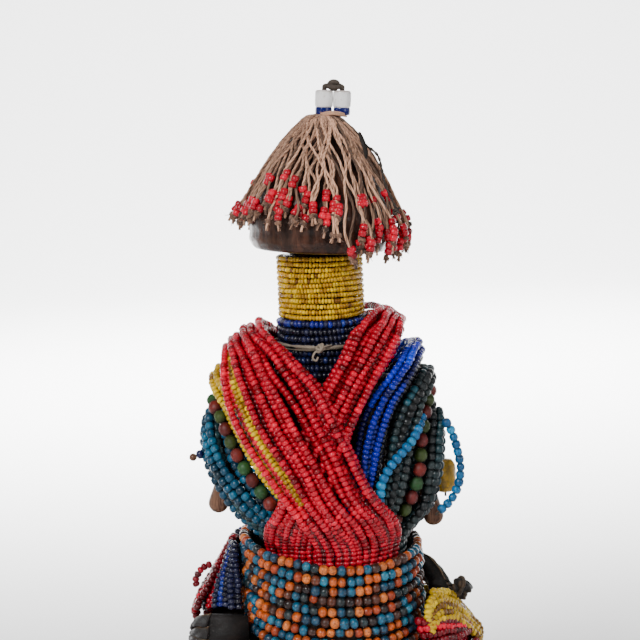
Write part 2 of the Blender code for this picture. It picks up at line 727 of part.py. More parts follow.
def make_wood_figure(parts, cutters, head_frame):
    """Carve the whole wooden figure: base, feet, legs, trunk, arms, neck and head, with a plain face."""
    trunk_stations = (
        (LEG_TOP - 4.0, HIP_HALF_WIDTH * 0.80, HIP_HALF_DEPTH * 0.72),
        (LEG_TOP + 6.0, HIP_HALF_WIDTH, HIP_HALF_DEPTH * 0.95),
        (BELT_BOTTOM, HIP_HALF_WIDTH, HIP_HALF_DEPTH),
        (BELT_TOP + DRAPE_HEIGHT * TUCK_SHARE - 4.5, HIP_HALF_WIDTH, HIP_HALF_DEPTH),
        (BELT_TOP + DRAPE_HEIGHT * TUCK_SHARE - 1.0, WAIST_HALF_WIDTH, WAIST_HALF_DEPTH),
        (BELT_TOP, WAIST_HALF_WIDTH, WAIST_HALF_DEPTH),
        (BELT_TOP + DRAPE_HEIGHT * 0.3, CHEST_HALF_WIDTH * 0.9, CHEST_HALF_DEPTH),
        (BELT_TOP + DRAPE_HEIGHT * 0.6, CHEST_HALF_WIDTH + 3.0, CHEST_HALF_DEPTH),
        (SHOULDER_HEIGHT - 2.0, CHEST_HALF_WIDTH, CHEST_HALF_DEPTH - 1.0),
        (SHOULDER_HEIGHT, NECK_WOOD_RADIUS + 4.0, NECK_WOOD_RADIUS),
        (SHOULDER_HEIGHT + 0.2, NECK_WOOD_RADIUS, NECK_WOOD_RADIUS),
        (NECK_TOP, NECK_WOOD_RADIUS, NECK_WOOD_RADIUS),
    )
    figure = mesh_object("wood_figure", body_rings(trunk_stations, 16), parts)

    hands = ((-1, LEFT_HAND_REACH, LEFT_HAND_DROP), (1, RIGHT_HAND_REACH, RIGHT_HAND_DROP))
    for side, reach, drop in hands:
        shoulder, elbow, hand = arm_joints(reach, drop)
        upper_arm = (shoulder + elbow) / 2
        arm = limb("arm_" + ("left" if side < 0 else "right"), (
            ((side * shoulder.x, 0, shoulder.y), SHOULDER_RADIUS),
            ((side * upper_arm.x, 0, upper_arm.y), UPPER_ARM_RADIUS),
            ((side * elbow.x, 0, elbow.y), ELBOW_RADIUS),
            ((side * hand.x, 0, hand.y), HAND_RADIUS),
        ), cutters)
        join_by(figure, arm, "UNION")

        leg = limb("leg_" + ("left" if side < 0 else "right"), (
            ((side * LEG_SPREAD, 0, LEG_TOP + 4.0), THIGH_RADIUS),
            ((side * LEG_SPREAD, 0, LEG_TOP - LEG_LENGTH * 0.5), KNEE_RADIUS),
            ((side * LEG_SPREAD, 0, BASE_HEIGHT + 2.0), ANKLE_RADIUS),
        ), cutters)
        join_by(figure, leg, "UNION")

        foot_z = BASE_HEIGHT + (FOOT_HEIGHT - FOOT_SUNK) / 2
        foot_place = (side * LEG_SPREAD, FOOT_LENGTH / 2 - ANKLE_RADIUS, foot_z)
        foot_size = (FOOT_WIDTH, FOOT_LENGTH, FOOT_HEIGHT + FOOT_SUNK)
        foot_name = "foot_" + ("left" if side < 0 else "right")
        foot = primitive("cube", foot_name, cutters, foot_place, foot_size)
        toe = foot.modifiers.new("Worn edge", "BEVEL")
        toe.width = FOOT_EDGE * MM
        toe.segments = 1
        join_by(figure, foot, "UNION")

    base_size = (2 * BASE_HALF_WIDTH, 2 * BASE_HALF_DEPTH, BASE_HEIGHT)
    base = primitive("cylinder", "low_base", cutters, (0, 0, BASE_HEIGHT / 2), base_size, 20)
    worn = base.modifiers.new("Worn edge", "BEVEL")
    worn.width = BASE_EDGE * MM
    worn.segments = 1
    join_by(figure, base, "UNION")

    head = turned_object("head", head_profile(), 16, cutters)
    head.parent = head_frame
    join_by(figure, head, "UNION")

    face_z = HEAD_RIM + FACE_HEIGHT
    nose = primitive(
        "sphere", "nose", cutters, (0, HEAD_RADIUS - 0.5, face_z),
        (NOSE_RADIUS * 2, NOSE_RADIUS * 2.6, NOSE_LENGTH), 8, 5,
    )
    nose.parent = head_frame
    join_by(figure, nose, "UNION")
    for side in (-1, 1):
        eye = primitive(
            "sphere", "eye_" + ("left" if side < 0 else "right"), cutters,
            (side * EYE_SPACING / 2, HEAD_RADIUS - 1.6, face_z + EYE_LIFT),
            (EYE_RADIUS * 2.4, EYE_RADIUS * 2, EYE_RADIUS), 8, 5,
        )
        eye.parent = head_frame
        join_by(figure, eye, "DIFFERENCE")
    mouth_place = (0, HEAD_RADIUS, face_z - MOUTH_DROP)
    mouth = primitive("cube", "mouth", cutters, mouth_place, (MOUTH_WIDTH, 3.0, 1.6))
    mouth.parent = head_frame
    join_by(figure, mouth, "DIFFERENCE")
    return figure


def fringe_hem(angle):
    """Height of the fringe's hem round the head: short at the middle of the side seen and over the face."""
    seen = max(0.0, math.cos(math.radians(angle + 95))) ** 3
    right = max(0.0, math.cos(math.radians(angle + 48))) ** 2
    face = max(0.0, math.cos(math.radians(angle - 90))) ** 2
    ragged = 1.8 * math.sin(math.radians(angle * 7 - 60))
    return HEAD_RIM + 3.0 + 8.0 * seen + 16.0 * face - 12.0 * right + ragged


def make_fringe(parts, head_frame):
    """Hang the cap's cords as one mop: whole at its top and parted into locks below."""
    columns = FRINGE_LOCKS * 2
    column_step = 360.0 / columns
    shares = (0.0, 0.14, 0.34, 0.66, 1.0)
    whole_levels = 2
    top = HEAD_TOP + FRINGE_LIFT
    mesh = bmesh.new()
    grid = []
    for share in shares:
        row = []
        for column in range(columns):
            lock_middle = (2 * (column // 2) + 1) * column_step
            angle = column * column_step
            spread = LOCK_SPREAD if share >= shares[whole_levels] else 0.0
            pull = spread if column % 2 else -spread
            height = top - (top - fringe_hem(lock_middle)) * share
            radius = fringe_radius(height)
            turn = math.radians(angle + pull * column_step)
            point = Vector((radius * math.cos(turn), radius * math.sin(turn), height))
            row.append(mesh.verts.new(point * MM))
        grid.append(row)
    for level in range(len(shares) - 1):
        for column in range(columns):
            if level >= whole_levels and column % 2 == 1:
                continue
            after = (column + 1) % columns
            mesh.faces.new((
                grid[level][column], grid[level + 1][column], grid[level + 1][after], grid[level][after],
            ))
    loose = [vertex for vertex in mesh.verts if not vertex.link_faces]
    bmesh.ops.delete(mesh, geom=loose, context="VERTS")
    data = bpy.data.meshes.new("cord_fringe")
    mesh.to_mesh(data)
    mesh.free()
    fringe = bpy.data.objects.new("cord_fringe", data)
    parts.objects.link(fringe)
    fringe.parent = head_frame
    shell = fringe.modifiers.new("Cord thickness", "SOLIDIFY")
    shell.thickness = FRINGE_THICKNESS * MM
    shell.offset = -1.0
    return fringe


def make_top_knot(parts, cutters, head_frame, materials):
    """Set the two white beads on two dark-blue ones, with the leather thong that ties them on top."""
    base_z = HEAD_TOP + FRINGE_LIFT + CLEARANCE
    left_x = 0.2
    right_x = left_x + 2 * WHITE_BEAD_RADIUS + CLEARANCE
    for side, place in (("left", left_x), ("right", right_x)):
        blue = primitive(
            "cylinder", "blue_bead_" + side, parts, (place, 0, base_z + BLUE_BEAD_HEIGHT / 2),
            (2 * BLUE_BEAD_RADIUS, 2 * BLUE_BEAD_RADIUS, BLUE_BEAD_HEIGHT), 10,
        )
        blue.parent = head_frame
        finish_piece(blue, materials["blue"])
        white_z = base_z + BLUE_BEAD_HEIGHT + CLEARANCE + WHITE_BEAD_HEIGHT / 2
        white = primitive(
            "cylinder", "white_bead_" + side, parts, (place, 0, white_z),
            (2 * WHITE_BEAD_RADIUS, 2 * WHITE_BEAD_RADIUS, WHITE_BEAD_HEIGHT), 10,
        )
        rounded = white.modifiers.new("Rounded rim", "BEVEL")
        rounded.width = 1.1 * MM
        rounded.segments = 1
        white.parent = head_frame
        finish_piece(white, materials["white"])
    knot_z = white_z + WHITE_BEAD_HEIGHT / 2 + CLEARANCE + THONG_RADIUS
    middle = (left_x + right_x) / 2
    thong = curve_to_mesh(tube_object("top_thong", (
        (left_x - 0.6, 0, knot_z), (left_x + 1.8, -0.6, knot_z + 0.5),
        (middle + 1.8, 0.6, knot_z + 0.5), (right_x + 0.6, 0, knot_z),
    ), THONG_RADIUS, parts, 0))
    thong.parent = head_frame
    knot_place = (middle + 0.6, 0, knot_z + 0.9)
    knot = primitive("sphere", "thong_knot", cutters, knot_place, THONG_KNOT_SIZE, 6, 4)
    knot.parent = head_frame
    join_by(thong, knot, "UNION")
    finish_piece(thong, materials["leather"])


def make_trunk_strands(parts, materials):
    """Drape the trunk's bead bundles over the shoulders, in the order in which they were put on."""
    def bundle(name, material, first, last, count, radius, neck_layers, arm_layers, climb):
        def neck_layer(share):
            return arch_layer(share, neck_layers, climb)

        def arm_layer(share):
            return arch_layer(share, arm_layers, climb)

        edges = (whole_arch(first), whole_arch(last))
        item = strand_band(name, drape_point, edges, count, radius, (neck_layer, arm_layer), parts)
        finish_piece(item, materials[material])

    bundle("turquoise_strands_left", "turquoise", TURQUOISE_NECK_EDGE, TURQUOISE_ARM_EDGE, 3, ROUND_RADIUS,
           (-0.35, 0.0, 0.0), (0.6, 0.0, 0.0), (0.6, 0.8))
    bundle("yellow_strands", "yellow", YELLOW_NECK_EDGE, YELLOW_ARM_EDGE, 3, FINE_RADIUS,
           (-0.25, 0.0, 0.5), (-0.25, 0.0, 0.5), (0.6, 0.8))
    bundle("blue_strands", "blue", BLUE_NECK_EDGE, BLUE_ARM_EDGE, 3, FINE_RADIUS,
           (-0.1, 0.0, 0.9), (-0.1, 0.0, 0.5), (0.62, 0.84))
    bundle("teal_strands_inner", "teal", TEAL_NECK_EDGE, TEAL_INNER_EDGE, 3, ROUND_RADIUS,
           (-0.1, 0.0, 0.2), (-0.1, 0.0, 0.2), (0.6, 0.75))
    bundle("teal_strands_outer", "teal", TEAL_OUTER_EDGE, TEAL_ARM_EDGE, 3, ROUND_RADIUS,
           (0.9, 0.0, 0.0), (0.9, 0.0, 0.0), (0.6, 0.8))
    bundle("red_strands_under", "red", RED_UNDER_NECK_EDGE, RED_UNDER_ARM_EDGE, 5, SEED_RADIUS,
           (0.95, 0.5, 1.2), (0.4, 0.5, 1.2), (0.78, 0.93))
    bundle("red_strands_over", "red", RED_OVER_NECK_EDGE, RED_OVER_ARM_EDGE, 7, SEED_RADIUS,
           (1.0, 1.0, 1.0), (1.0, 1.0, 1.0), (0.78, 0.93))

    big_left = bead_strand("big_bead_strand_left", BIG_LEFT_ROUTE, -0.1, BIG_RADIUS, (0.24, 0.62), parts)
    finish_piece(big_left, materials["mixed"])
    big_right = bead_strand("big_bead_strand_right", BIG_RIGHT_ROUTE, -0.1, BIG_RADIUS, (0.25, 0.6), parts)
    finish_piece(big_right, materials["mixed"])


def make_belt(parts, materials):
    """Wind the wide belt of orange and blue bead rows round the waist."""
    angles = [index * 360.0 / BELT_SEGMENTS for index in range(BELT_SEGMENTS)]
    edge_share = 0.5 / BELT_ROWS
    edges = ([(angle, 1 - edge_share) for angle in angles], [(angle, edge_share) for angle in angles])
    belt = strand_band(
        "waist_belt_beads", belt_point, edges, BELT_ROWS, BELT_BEAD / 2,
        (lambda share: 0.0, lambda share: 0.0), parts, closed=True, backing=-BELT_BEAD / 2,
    )
    finish_piece(belt, materials["orange"])


def make_hip_strands(parts, materials):
    """Wind the strands and the leather strap round the hips, outside the belt's sides."""
    def outermost(share):
        return 1.0

    def covered(share):
        return 0.8

    def innermost(share):
        return 0.3

    def patch(name, material, first, last, count, first_layer=outermost, last_layer=outermost):
        layers = (first_layer, last_layer)
        item = strand_band(name, hip_point, (first, last), count, SEED_RADIUS, layers, parts, backing=0.0)
        finish_piece(item, materials[material])

    angles = [index * 360.0 / BELT_SEGMENTS for index in range(BELT_SEGMENTS)]
    hip_height = BELT_TOP - LEG_TOP
    low_share = SEED_RADIUS / hip_height
    high_share = (HIP_ROWS_TOP - LEG_TOP - SEED_RADIUS) / hip_height
    edges = ([(angle, high_share) for angle in angles], [(angle, low_share) for angle in angles])
    rows = strand_band(
        "hip_red_rows", hip_point, edges, HIP_ROWS, SEED_RADIUS, (outermost, outermost), parts,
        closed=True, backing=0.0,
    )
    finish_piece(rows, materials["red"])
    patch("hip_red_strands_left", "red", HIP_RED_LEFT_FAR, HIP_RED_LEFT_NEAR, 4)
    patch("hip_blue_strands_left", "navy", HIP_BLUE_LEFT_FAR, HIP_BLUE_LEFT_NEAR, 3, covered, innermost)
    patch("hip_yellow_strands_right", "yellow", HIP_YELLOW_TOP, HIP_YELLOW_BOTTOM, 4)
    patch("hip_red_strands_right", "red", HIP_RED_RIGHT_TOP, HIP_RED_RIGHT_BOTTOM, 3)
    patch("hip_strands_far", "navy", HIP_FAR_LEFT_EDGE, HIP_FAR_RIGHT_EDGE, 7)


def make_strap(parts, cutters, materials):
    """Wrap the leather strap round the hips in overlapping turns, narrowing to its knot at the right."""
    rings = []
    for (angle, top_share), (_, bottom_share) in zip(STRAP_TOP, STRAP_BOTTOM):
        width = top_share - bottom_share
        outer = []
        for turn in range(STRAP_TURNS):
            upper = top_share - width * turn / STRAP_TURNS
            lower = top_share - width * (turn + 0.94) / STRAP_TURNS
            for share, stand in ((upper, 0.3), (lower, 1.3)):
                outward = surface_normal(hip_point, angle, share, 1.0)
                outer.append(hip_point(angle, share, 1.0) + outward * stand * STRAP_THICKNESS)
        inner = [hip_point(angle, bottom_share, 0.0), hip_point(angle, top_share, 0.0)]
        rings.append(outer + inner)
    strap = mesh_object("hip_leather_strap", rings, parts)
    knot_place = hip_point(STRAP_TOP[-1][0], STRAP_KNOT_SHARE, 1.0) + Vector((STRAP_KNOT_REACH, 0, 0))
    knot = primitive("cube", "strap_knot", cutters, knot_place, STRAP_KNOT_SIZE)
    knot.rotation_euler = (0.2, 0.55, 0.3)
    folded = knot.modifiers.new("Folded edge", "BEVEL")
    folded.width = 2.0 * MM
    folded.segments = 1
    join_by(strap, knot, "UNION")
    finish_piece(strap, materials["leather"])


def make_tie(parts, cutters, materials):
    """Bind the pale sinew round the collar, with its knot and short tail on the side seen."""
    height = NECK_BOTTOM - (NECK_BOTTOM - COLLAR_BOTTOM) * TIE_SHARE
    flare = COLLAR_FLARE * (TIE_SHARE + 0.1) ** 2
    reach = NECK_INNER + COLLAR_BEAD + flare + CLEARANCE + TIE_RADIUS
    profile = []
    for side in range(5):
        turn = -2 * math.pi * side / 5
        profile.append((reach + TIE_RADIUS * math.cos(turn), height + TIE_RADIUS * math.sin(turn)))
    profile.append(profile[0])
    tie = turned_object("collar_tie", profile, NECK_SEGMENTS, parts)
    knot_place = (-1.2, -reach - 0.2, height - 0.6)
    knot = primitive("sphere", "tie_knot", cutters, knot_place, TIE_KNOT_SIZE, 6, 4)
    join_by(tie, knot, "UNION")
    tail_places = [
        (-across * TIE_TAIL, -reach - outward * TIE_TAIL, height - drop * TIE_TAIL)
        for across, outward, drop in ((0.29, 0.11, 0.18), (0.64, 0.29, 0.5), (0.57, 0.32, 1.0))
    ]
    tail = curve_to_mesh(tube_object("tie_tail", tail_places, TIE_RADIUS * 0.8, cutters, 0))
    join_by(tie, tail, "UNION")
    finish_piece(tie, materials["sinew"])


def make_side_pieces(parts, head_frame, materials):
    """Add the loose loops, the amber bead and the small bead on its peg."""
    loop_places = [
        standing_off(drape_point, angle, share, 0.0, off * LOOP_REACH) for angle, share, off in LOOP_PLACES
    ]
    loop = tube_object("turquoise_loop_right", loop_places, LOOP_RADIUS, parts)
    finish_curve(loop, materials["turquoise"])
    hip_loop_places = [
        standing_off(hip_point, angle, share, 1.0, off * HIP_LOOP_REACH) for angle, share, off in HIP_LOOP_PLACES
    ]
    hip_loop = tube_object("hip_red_loop_left", hip_loop_places, SEED_RADIUS * 0.9, parts)
    finish_curve(hip_loop, materials["red"])
    head_cord = tube_object("dark_head_cord", [
        (x, y, HEAD_TOP + drop) for x, y, drop in HEAD_CORD_PLACES
    ], HEAD_CORD_RADIUS, parts, 0)
    head_cord.parent = head_frame
    finish_curve(head_cord, materials["leather"])

    _, elbow, hand = arm_joints(RIGHT_HAND_REACH, RIGHT_HAND_DROP)
    held = elbow.lerp(hand, AMBER_ARM_SHARE)
    arm_radius = ELBOW_RADIUS + (HAND_RADIUS - ELBOW_RADIUS) * AMBER_ARM_SHARE
    amber_place = (held.x + arm_radius + AMBER_GAP + AMBER_RADIUS, AMBER_FORWARD, held.y)
    amber_size = (2 * AMBER_RADIUS, 2 * AMBER_RADIUS, AMBER_LENGTH)
    amber = primitive("sphere", "amber_bead", parts, amber_place, amber_size, 8, 5)
    finish_piece(amber, materials["amber"])

    bead_length = PEG_LENGTH * 0.8
    angle, share = PEG_PLACE
    bead_place = standing_off(drape_point, angle, share, 0.0, ROUND_RADIUS + CLEARANCE + bead_length / 2)
    bead_size = (2 * PEG_RADIUS, 2 * PEG_RADIUS, bead_length)
    bead = primitive("cylinder", "side_bead_blue", parts, bead_place, bead_size, 8)
    bead.rotation_euler = (0, math.radians(70), 0)
    finish_piece(bead, materials["blue"])
    tip_place = bead_place + Vector((-PEG_LENGTH, 0, -PEG_LENGTH * 0.36))
    tip = primitive("sphere", "side_bead_brown", parts, tip_place, (3.6, 3.2, 3.6), 7, 5)
    finish_piece(tip, materials["wood"])


def main():
    clear_scene()
    parts = new_collection(OBJECT_NAME)
    cutters = new_collection(OBJECT_NAME + "_cutters")
    materials = {
        "wood": new_material("wood", WOOD_COLOUR, 0.35),
        "red": new_material("red_glass", RED_COLOUR, 0.25),
        "yellow": new_material("yellow_glass", YELLOW_COLOUR, 0.35),
        "navy": new_material("navy_glass", NAVY_COLOUR, 0.25),
        "blue": new_material("blue_glass", BLUE_COLOUR, 0.25),
        "turquoise": new_material("turquoise_glass", TURQUOISE_COLOUR, 0.4),
        "teal": new_material("teal_glass", TEAL_COLOUR, 0.45),
        "mixed": new_material("maroon_and_green_glass", MIXED_COLOUR, 0.55),
        "orange": new_material("orange_glass", ORANGE_COLOUR, 0.4),
        "white": new_material("white_glass", WHITE_COLOUR, 0.3),
        "amber": new_material("amber", AMBER_COLOUR, 0.4),
        "cord": new_material("cord", CORD_COLOUR, 0.9),
        "sinew": new_material("sinew", SINEW_COLOUR, 0.8),
        "leather": new_material("leather", LEATHER_COLOUR, 0.6),
    }

    head_frame = bpy.data.objects.new("head_frame", None)
    parts.objects.link(head_frame)
    pivot = Matrix.Translation(Vector((0, 0, NECK_TOP)) * MM)
    tilt = Matrix.Rotation(math.radians(HEAD_TILT), 4, "Y")
    head_frame.matrix_world = pivot @ tilt @ pivot.inverted()
    bpy.context.view_layer.update()

    figure = make_wood_figure(parts, cutters, head_frame)
    finish_piece(figure, materials["wood"], 30.0)
    fringe = make_fringe(parts, head_frame)
    finish_piece(fringe, materials["cord"])
    make_top_knot(parts, cutters, head_frame, materials)

    neck = ribbed_ring(
        "yellow_neck_beads", NECK_BOTTOM, NECK_TOP, NECK_ROWS, NECK_INNER, NECK_BEAD, 0.0,
        NECK_SEGMENTS, parts,
    )
    finish_piece(neck, materials["yellow"])
    collar = ribbed_ring(
        "dark_collar_beads", COLLAR_BOTTOM, NECK_BOTTOM - CLEARANCE, COLLAR_ROWS, NECK_INNER, COLLAR_BEAD,
        COLLAR_FLARE, NECK_SEGMENTS, parts,
    )
    finish_piece(collar, materials["navy"])

    make_trunk_strands(parts, materials)
    make_belt(parts, materials)
    make_hip_strands(parts, materials)
    make_strap(parts, cutters, materials)
    make_tie(parts, cutters, materials)
    make_side_pieces(parts, head_frame, materials)


main()
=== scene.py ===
import math

import bpy
import numpy as np
from mathutils import Matrix, Vector


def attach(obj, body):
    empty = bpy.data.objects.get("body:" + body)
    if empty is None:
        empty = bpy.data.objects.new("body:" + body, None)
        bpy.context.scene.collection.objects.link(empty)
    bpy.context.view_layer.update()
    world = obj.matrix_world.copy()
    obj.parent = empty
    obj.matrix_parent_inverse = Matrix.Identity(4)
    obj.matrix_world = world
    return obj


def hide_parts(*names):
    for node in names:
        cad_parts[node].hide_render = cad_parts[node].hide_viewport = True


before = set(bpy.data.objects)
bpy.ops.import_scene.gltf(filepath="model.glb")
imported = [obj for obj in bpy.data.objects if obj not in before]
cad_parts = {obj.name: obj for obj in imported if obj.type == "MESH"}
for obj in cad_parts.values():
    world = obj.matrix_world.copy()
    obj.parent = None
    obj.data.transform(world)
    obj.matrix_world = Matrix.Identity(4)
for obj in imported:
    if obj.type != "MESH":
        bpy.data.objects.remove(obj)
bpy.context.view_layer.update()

# Namji doll: glass beads, plied cords, leather and carved wood, worked out bead by bead over the packed
# solids. It is seen from behind, along +Y, and faces +Y. Lengths are in millimetres until they reach Blender.
MM = 0.001
CLEARANCE = 0.35

# Sizes of the doll's solids
BASE_HEIGHT, BASE_HALF_WIDTH, BASE_HALF_DEPTH = 10.0, 41.0, 34.0
LEG_LENGTH, LEG_SPREAD = 47.0, 15.5
THIGH_RADIUS, KNEE_RADIUS, ANKLE_RADIUS = 14.0, 11.5, 9.5
FOOT_LENGTH, FOOT_WIDTH, FOOT_HEIGHT = 30.0, 19.0, 8.0
WAIST_HALF_WIDTH, WAIST_HALF_DEPTH = 19.2, 16.6
HIP_HALF_WIDTH, HIP_HALF_DEPTH = 31.5, 29.0
CHEST_HALF_WIDTH, CHEST_HALF_DEPTH = 27.0, 17.5
SHOULDER_RADIUS, SHOULDER_REACH, UPPER_ARM_RADIUS, ELBOW_RADIUS, HAND_RADIUS = 10.0, 28.5, 6.6, 5.0, 4.2
LEFT_HAND_REACH, RIGHT_HAND_REACH, LEFT_HAND_DROP, RIGHT_HAND_DROP = 45.0, 41.8, 78.5, 87.5
NECK_WOOD_RADIUS, NECK_SEGMENTS, NECK_ROW_PITCH, NECK_ROWS, NECK_BEAD = 14.6, 12, 2.06, 12, 2.0
NECK_LIFT = 0.6
COLLAR_ROW_PITCH, COLLAR_ROWS, COLLAR_BEAD, COLLAR_FLARE = 2.85, 8, 2.7, 2.2
HEAD_RADIUS, HEAD_BOWL_HEIGHT, HEAD_DOME_HEIGHT, HEAD_TILT = 28.0, 7.0, 46.5, 4.0
DOME_GAP, HEAD_SEAT = 1.4, 1.8
FACE_RISE, EYE_SPACING, MOUTH_WIDTH = 9.0, 18.0, 11.0
DRAPE_HEIGHT, TUCK_SHARE = 89.0, -0.09
SEED_RADIUS, FINE_RADIUS, ROUND_RADIUS, BIG_RADIUS = 1.6, 1.5, 1.9, 2.65
SEED_PITCH, HIP_PITCH, ROUND_PITCH, BIG_PITCH, BIG_HALF_LENGTH = 2.05, 2.08, 3.3, 5.75, 2.75
THREAD_RADIUS = 0.42
BELT_ROWS, BELT_ROW_PITCH, BELT_BEAD, BELT_DIP, BELT_TILT, BELT_SEGMENTS = 9, 4.25, 4.0, 4.0, 3.0, 18
HIP_GAP, HIP_ROWS, HIP_ROW_PITCH = 1.4, 5, 4.8
FRINGE_RADIUS, FRINGE_TOP_RADIUS, FRINGE_THICKNESS, FRINGE_LIFT, FRINGE_FALL = 35.2, 4.6, 1.8, 0.8, 42.0
FRINGE_LOCKS = 16
WHITE_BEAD_RADIUS, WHITE_BEAD_HEIGHT, BLUE_BEAD_RADIUS, BLUE_BEAD_HEIGHT = 3.4, 6.6, 3.1, 2.7
THONG_RADIUS, TIE_SHARE, HEAD_CORD_RADIUS = 1.1, 0.44, 0.6
LOOP_RADIUS, AMBER_RADIUS, AMBER_LENGTH, PEG_RADIUS, PEG_LENGTH = 1.7, 4.3, 13.6, 1.9, 3.4
STRAP_TURNS, STRAP_THICKNESS, STRAP_KNOT_REACH, STRAP_KNOT_SHARE = 3, 1.3, 4.6, 0.622
NECK_INNER = (NECK_WOOD_RADIUS + CLEARANCE) / math.cos(math.pi / NECK_SEGMENTS)

# Heights above the underside, each stacked on the one before
LEG_TOP = BASE_HEIGHT + LEG_LENGTH
HIP_ROWS_TOP = LEG_TOP + HIP_ROWS * HIP_ROW_PITCH
BELT_BOTTOM = HIP_ROWS_TOP + BELT_DIP + BELT_TILT ** 2 / (4 * BELT_DIP) + 2 * CLEARANCE
BELT_TOP = BELT_BOTTOM + BELT_ROWS * BELT_ROW_PITCH
DRAPE_TOP = BELT_TOP + DRAPE_HEIGHT
NECK_BOTTOM = DRAPE_TOP + NECK_LIFT
NECK_TOP = NECK_BOTTOM + NECK_ROWS * NECK_ROW_PITCH
COLLAR_BOTTOM = NECK_BOTTOM - COLLAR_ROWS * COLLAR_ROW_PITCH
SHOULDER_HEIGHT = COLLAR_BOTTOM - 2 * CLEARANCE
HEAD_RIM = NECK_TOP + HEAD_BOWL_HEIGHT
HEAD_TOP = HEAD_RIM + HEAD_DOME_HEIGHT

# Outlines: share of the drape's height, half-width, half-depth and drop of a strand's centre line
INNER_DRAPE = (
    (-0.12, 24.0, 21.5, 0.0), (0.00, 24.0, 21.5, 0.0), (0.15, 39.5, 27.0, 0.0), (0.30, 46.6, 28.0, 0.0),
    (0.45, 47.4, 27.5, 0.0), (0.60, 45.3, 26.0, 0.0), (0.75, 41.5, 23.5, -1.5),
    (0.87, 33.0, 20.8, -6.0), (1.00, 22.5, 19.2, -9.5),
)
OUTER_DRAPE = (
    (-0.12, 30.9, 28.6, 0.0), (0.00, 30.9, 28.6, 0.0), (0.15, 44.0, 34.9, 0.0), (0.30, 51.5, 35.9, 0.0),
    (0.45, 54.5, 35.2, 0.0), (0.60, 53.0, 33.8, 0.0), (0.75, 47.5, 31.2, 0.0), (0.87, 38.6, 27.4, 0.0),
    (0.94, 31.0, 24.8, 0.0), (1.00, 20.6, 21.6, 0.0),
)
DRAPE_LEAN = (
    (-0.12, 0.0), (0.15, 0.6), (0.30, -0.5), (0.45, -1.7), (0.60, -1.7), (0.87, 0.0), (1.0, 0.0),
)
HIP_OUTLINE = (
    (0.00, 45.0, 32.0, 34.0), (0.15, 55.5, 35.5, 41.5), (0.33, 58.8, 36.0, 45.0),
    (0.45, 56.0, 35.0, 45.4), (0.60, 52.4, 35.0, 44.4), (0.76, 46.6, 35.6, 42.4),
    (0.90, 42.2, 36.4, 40.4), (1.00, 39.9, 37.0, 39.6),
)
HIP_LEAN = (
    (0.0, 0.0), (0.33, -0.3), (0.45, -2.0), (0.60, -4.0), (0.76, -3.2), (0.90, -1.6), (1.0, 0.0),
)
BELT_CORNER_RATIO = 1 / math.cos(math.pi / BELT_SEGMENTS)
BELT_HALF_WIDTH = (OUTER_DRAPE[1][1] + SEED_RADIUS + CLEARANCE) * BELT_CORNER_RATIO + BELT_BEAD / 2
BELT_HALF_DEPTH = (OUTER_DRAPE[1][2] + SEED_RADIUS + CLEARANCE) * BELT_CORNER_RATIO + BELT_BEAD / 2

# Routes of the bundles over the shoulders: degrees round the body and share of the drape's height
RED_OVER_NECK_EDGE = (
    (-36, 0.0), (-54, 0.12), (-70, 0.27), (-80, 0.52), (-90, 0.73), (-102, 0.83), (-120, 0.92),
    (-150, 0.97), (-180, 0.985),
)
RED_OVER_ARM_EDGE = (
    (-100, 0.0), (-104, 0.11), (-108, 0.22), (-117, 0.41), (-130, 0.59), (-142, 0.73), (-155, 0.815),
    (-168, 0.86), (-180, 0.873),
)
RED_UNDER_NECK_EDGE = (
    (-146, 0.0), (-131, 0.10), (-115, 0.22), (-101, 0.46), (-90, 0.70), (-80, 0.85), (-64, 0.95),
    (-34, 0.985), (0, 0.985),
)
RED_UNDER_ARM_EDGE = (
    (-104, 0.0), (-97, 0.10), (-91, 0.20), (-82, 0.42), (-73, 0.60), (-62, 0.75), (-46, 0.86),
    (-24, 0.925), (0, 0.935),
)
YELLOW_NECK_EDGE = (
    (-97, 0.0), (-103, 0.19), (-110, 0.36), (-120, 0.54), (-133, 0.66), (-147, 0.745), (-163, 0.795),
    (-180, 0.82),
)
YELLOW_ARM_EDGE = (
    (-108, 0.0), (-114, 0.20), (-123, 0.345), (-134, 0.50), (-145, 0.59), (-156, 0.665), (-168, 0.715),
    (-180, 0.745),
)
BIG_LEFT_ROUTE = (
    (-117, 0.0), (-123, 0.20), (-131, 0.345), (-139, 0.455), (-147, 0.54), (-156, 0.595), (-168, 0.632),
    (-180, 0.648),
)
TURQUOISE_NECK_EDGE = (
    (-128, 0.0), (-134, 0.16), (-141, 0.27), (-148, 0.335), (-154, 0.41), (-163, 0.49), (-172, 0.565),
    (-180, 0.595),
)
TURQUOISE_ARM_EDGE = (
    (-155, 0.0), (-158, 0.13), (-161, 0.215), (-165, 0.28), (-169, 0.34), (-174, 0.40), (-178, 0.46),
    (-180, 0.50),
)
BLUE_NECK_EDGE = (
    (-86, 0.0), (-76, 0.33), (-70, 0.52), (-63, 0.64), (-56, 0.738), (-45, 0.81), (-27, 0.87),
    (0, 0.885),
)
BLUE_ARM_EDGE = (
    (-74, 0.0), (-66, 0.30), (-59, 0.49), (-52, 0.60), (-43, 0.69), (-34, 0.765), (-20, 0.815),
    (0, 0.83),
)
TEAL_NECK_EDGE = (
    (-62, 0.0), (-60, 0.22), (-56, 0.40), (-51, 0.51), (-43, 0.605), (-34, 0.682), (-22, 0.745),
    (0, 0.765),
)
TEAL_INNER_EDGE = (
    (-51, 0.0), (-52, 0.19), (-50, 0.34), (-45, 0.44), (-37, 0.545), (-27, 0.635), (-14, 0.695),
    (0, 0.715),
)
BIG_RIGHT_ROUTE = (
    (-41, 0.0), (-41, 0.19), (-38, 0.33), (-34, 0.44), (-28, 0.525), (-21, 0.59), (-11, 0.635),
    (0, 0.65),
)
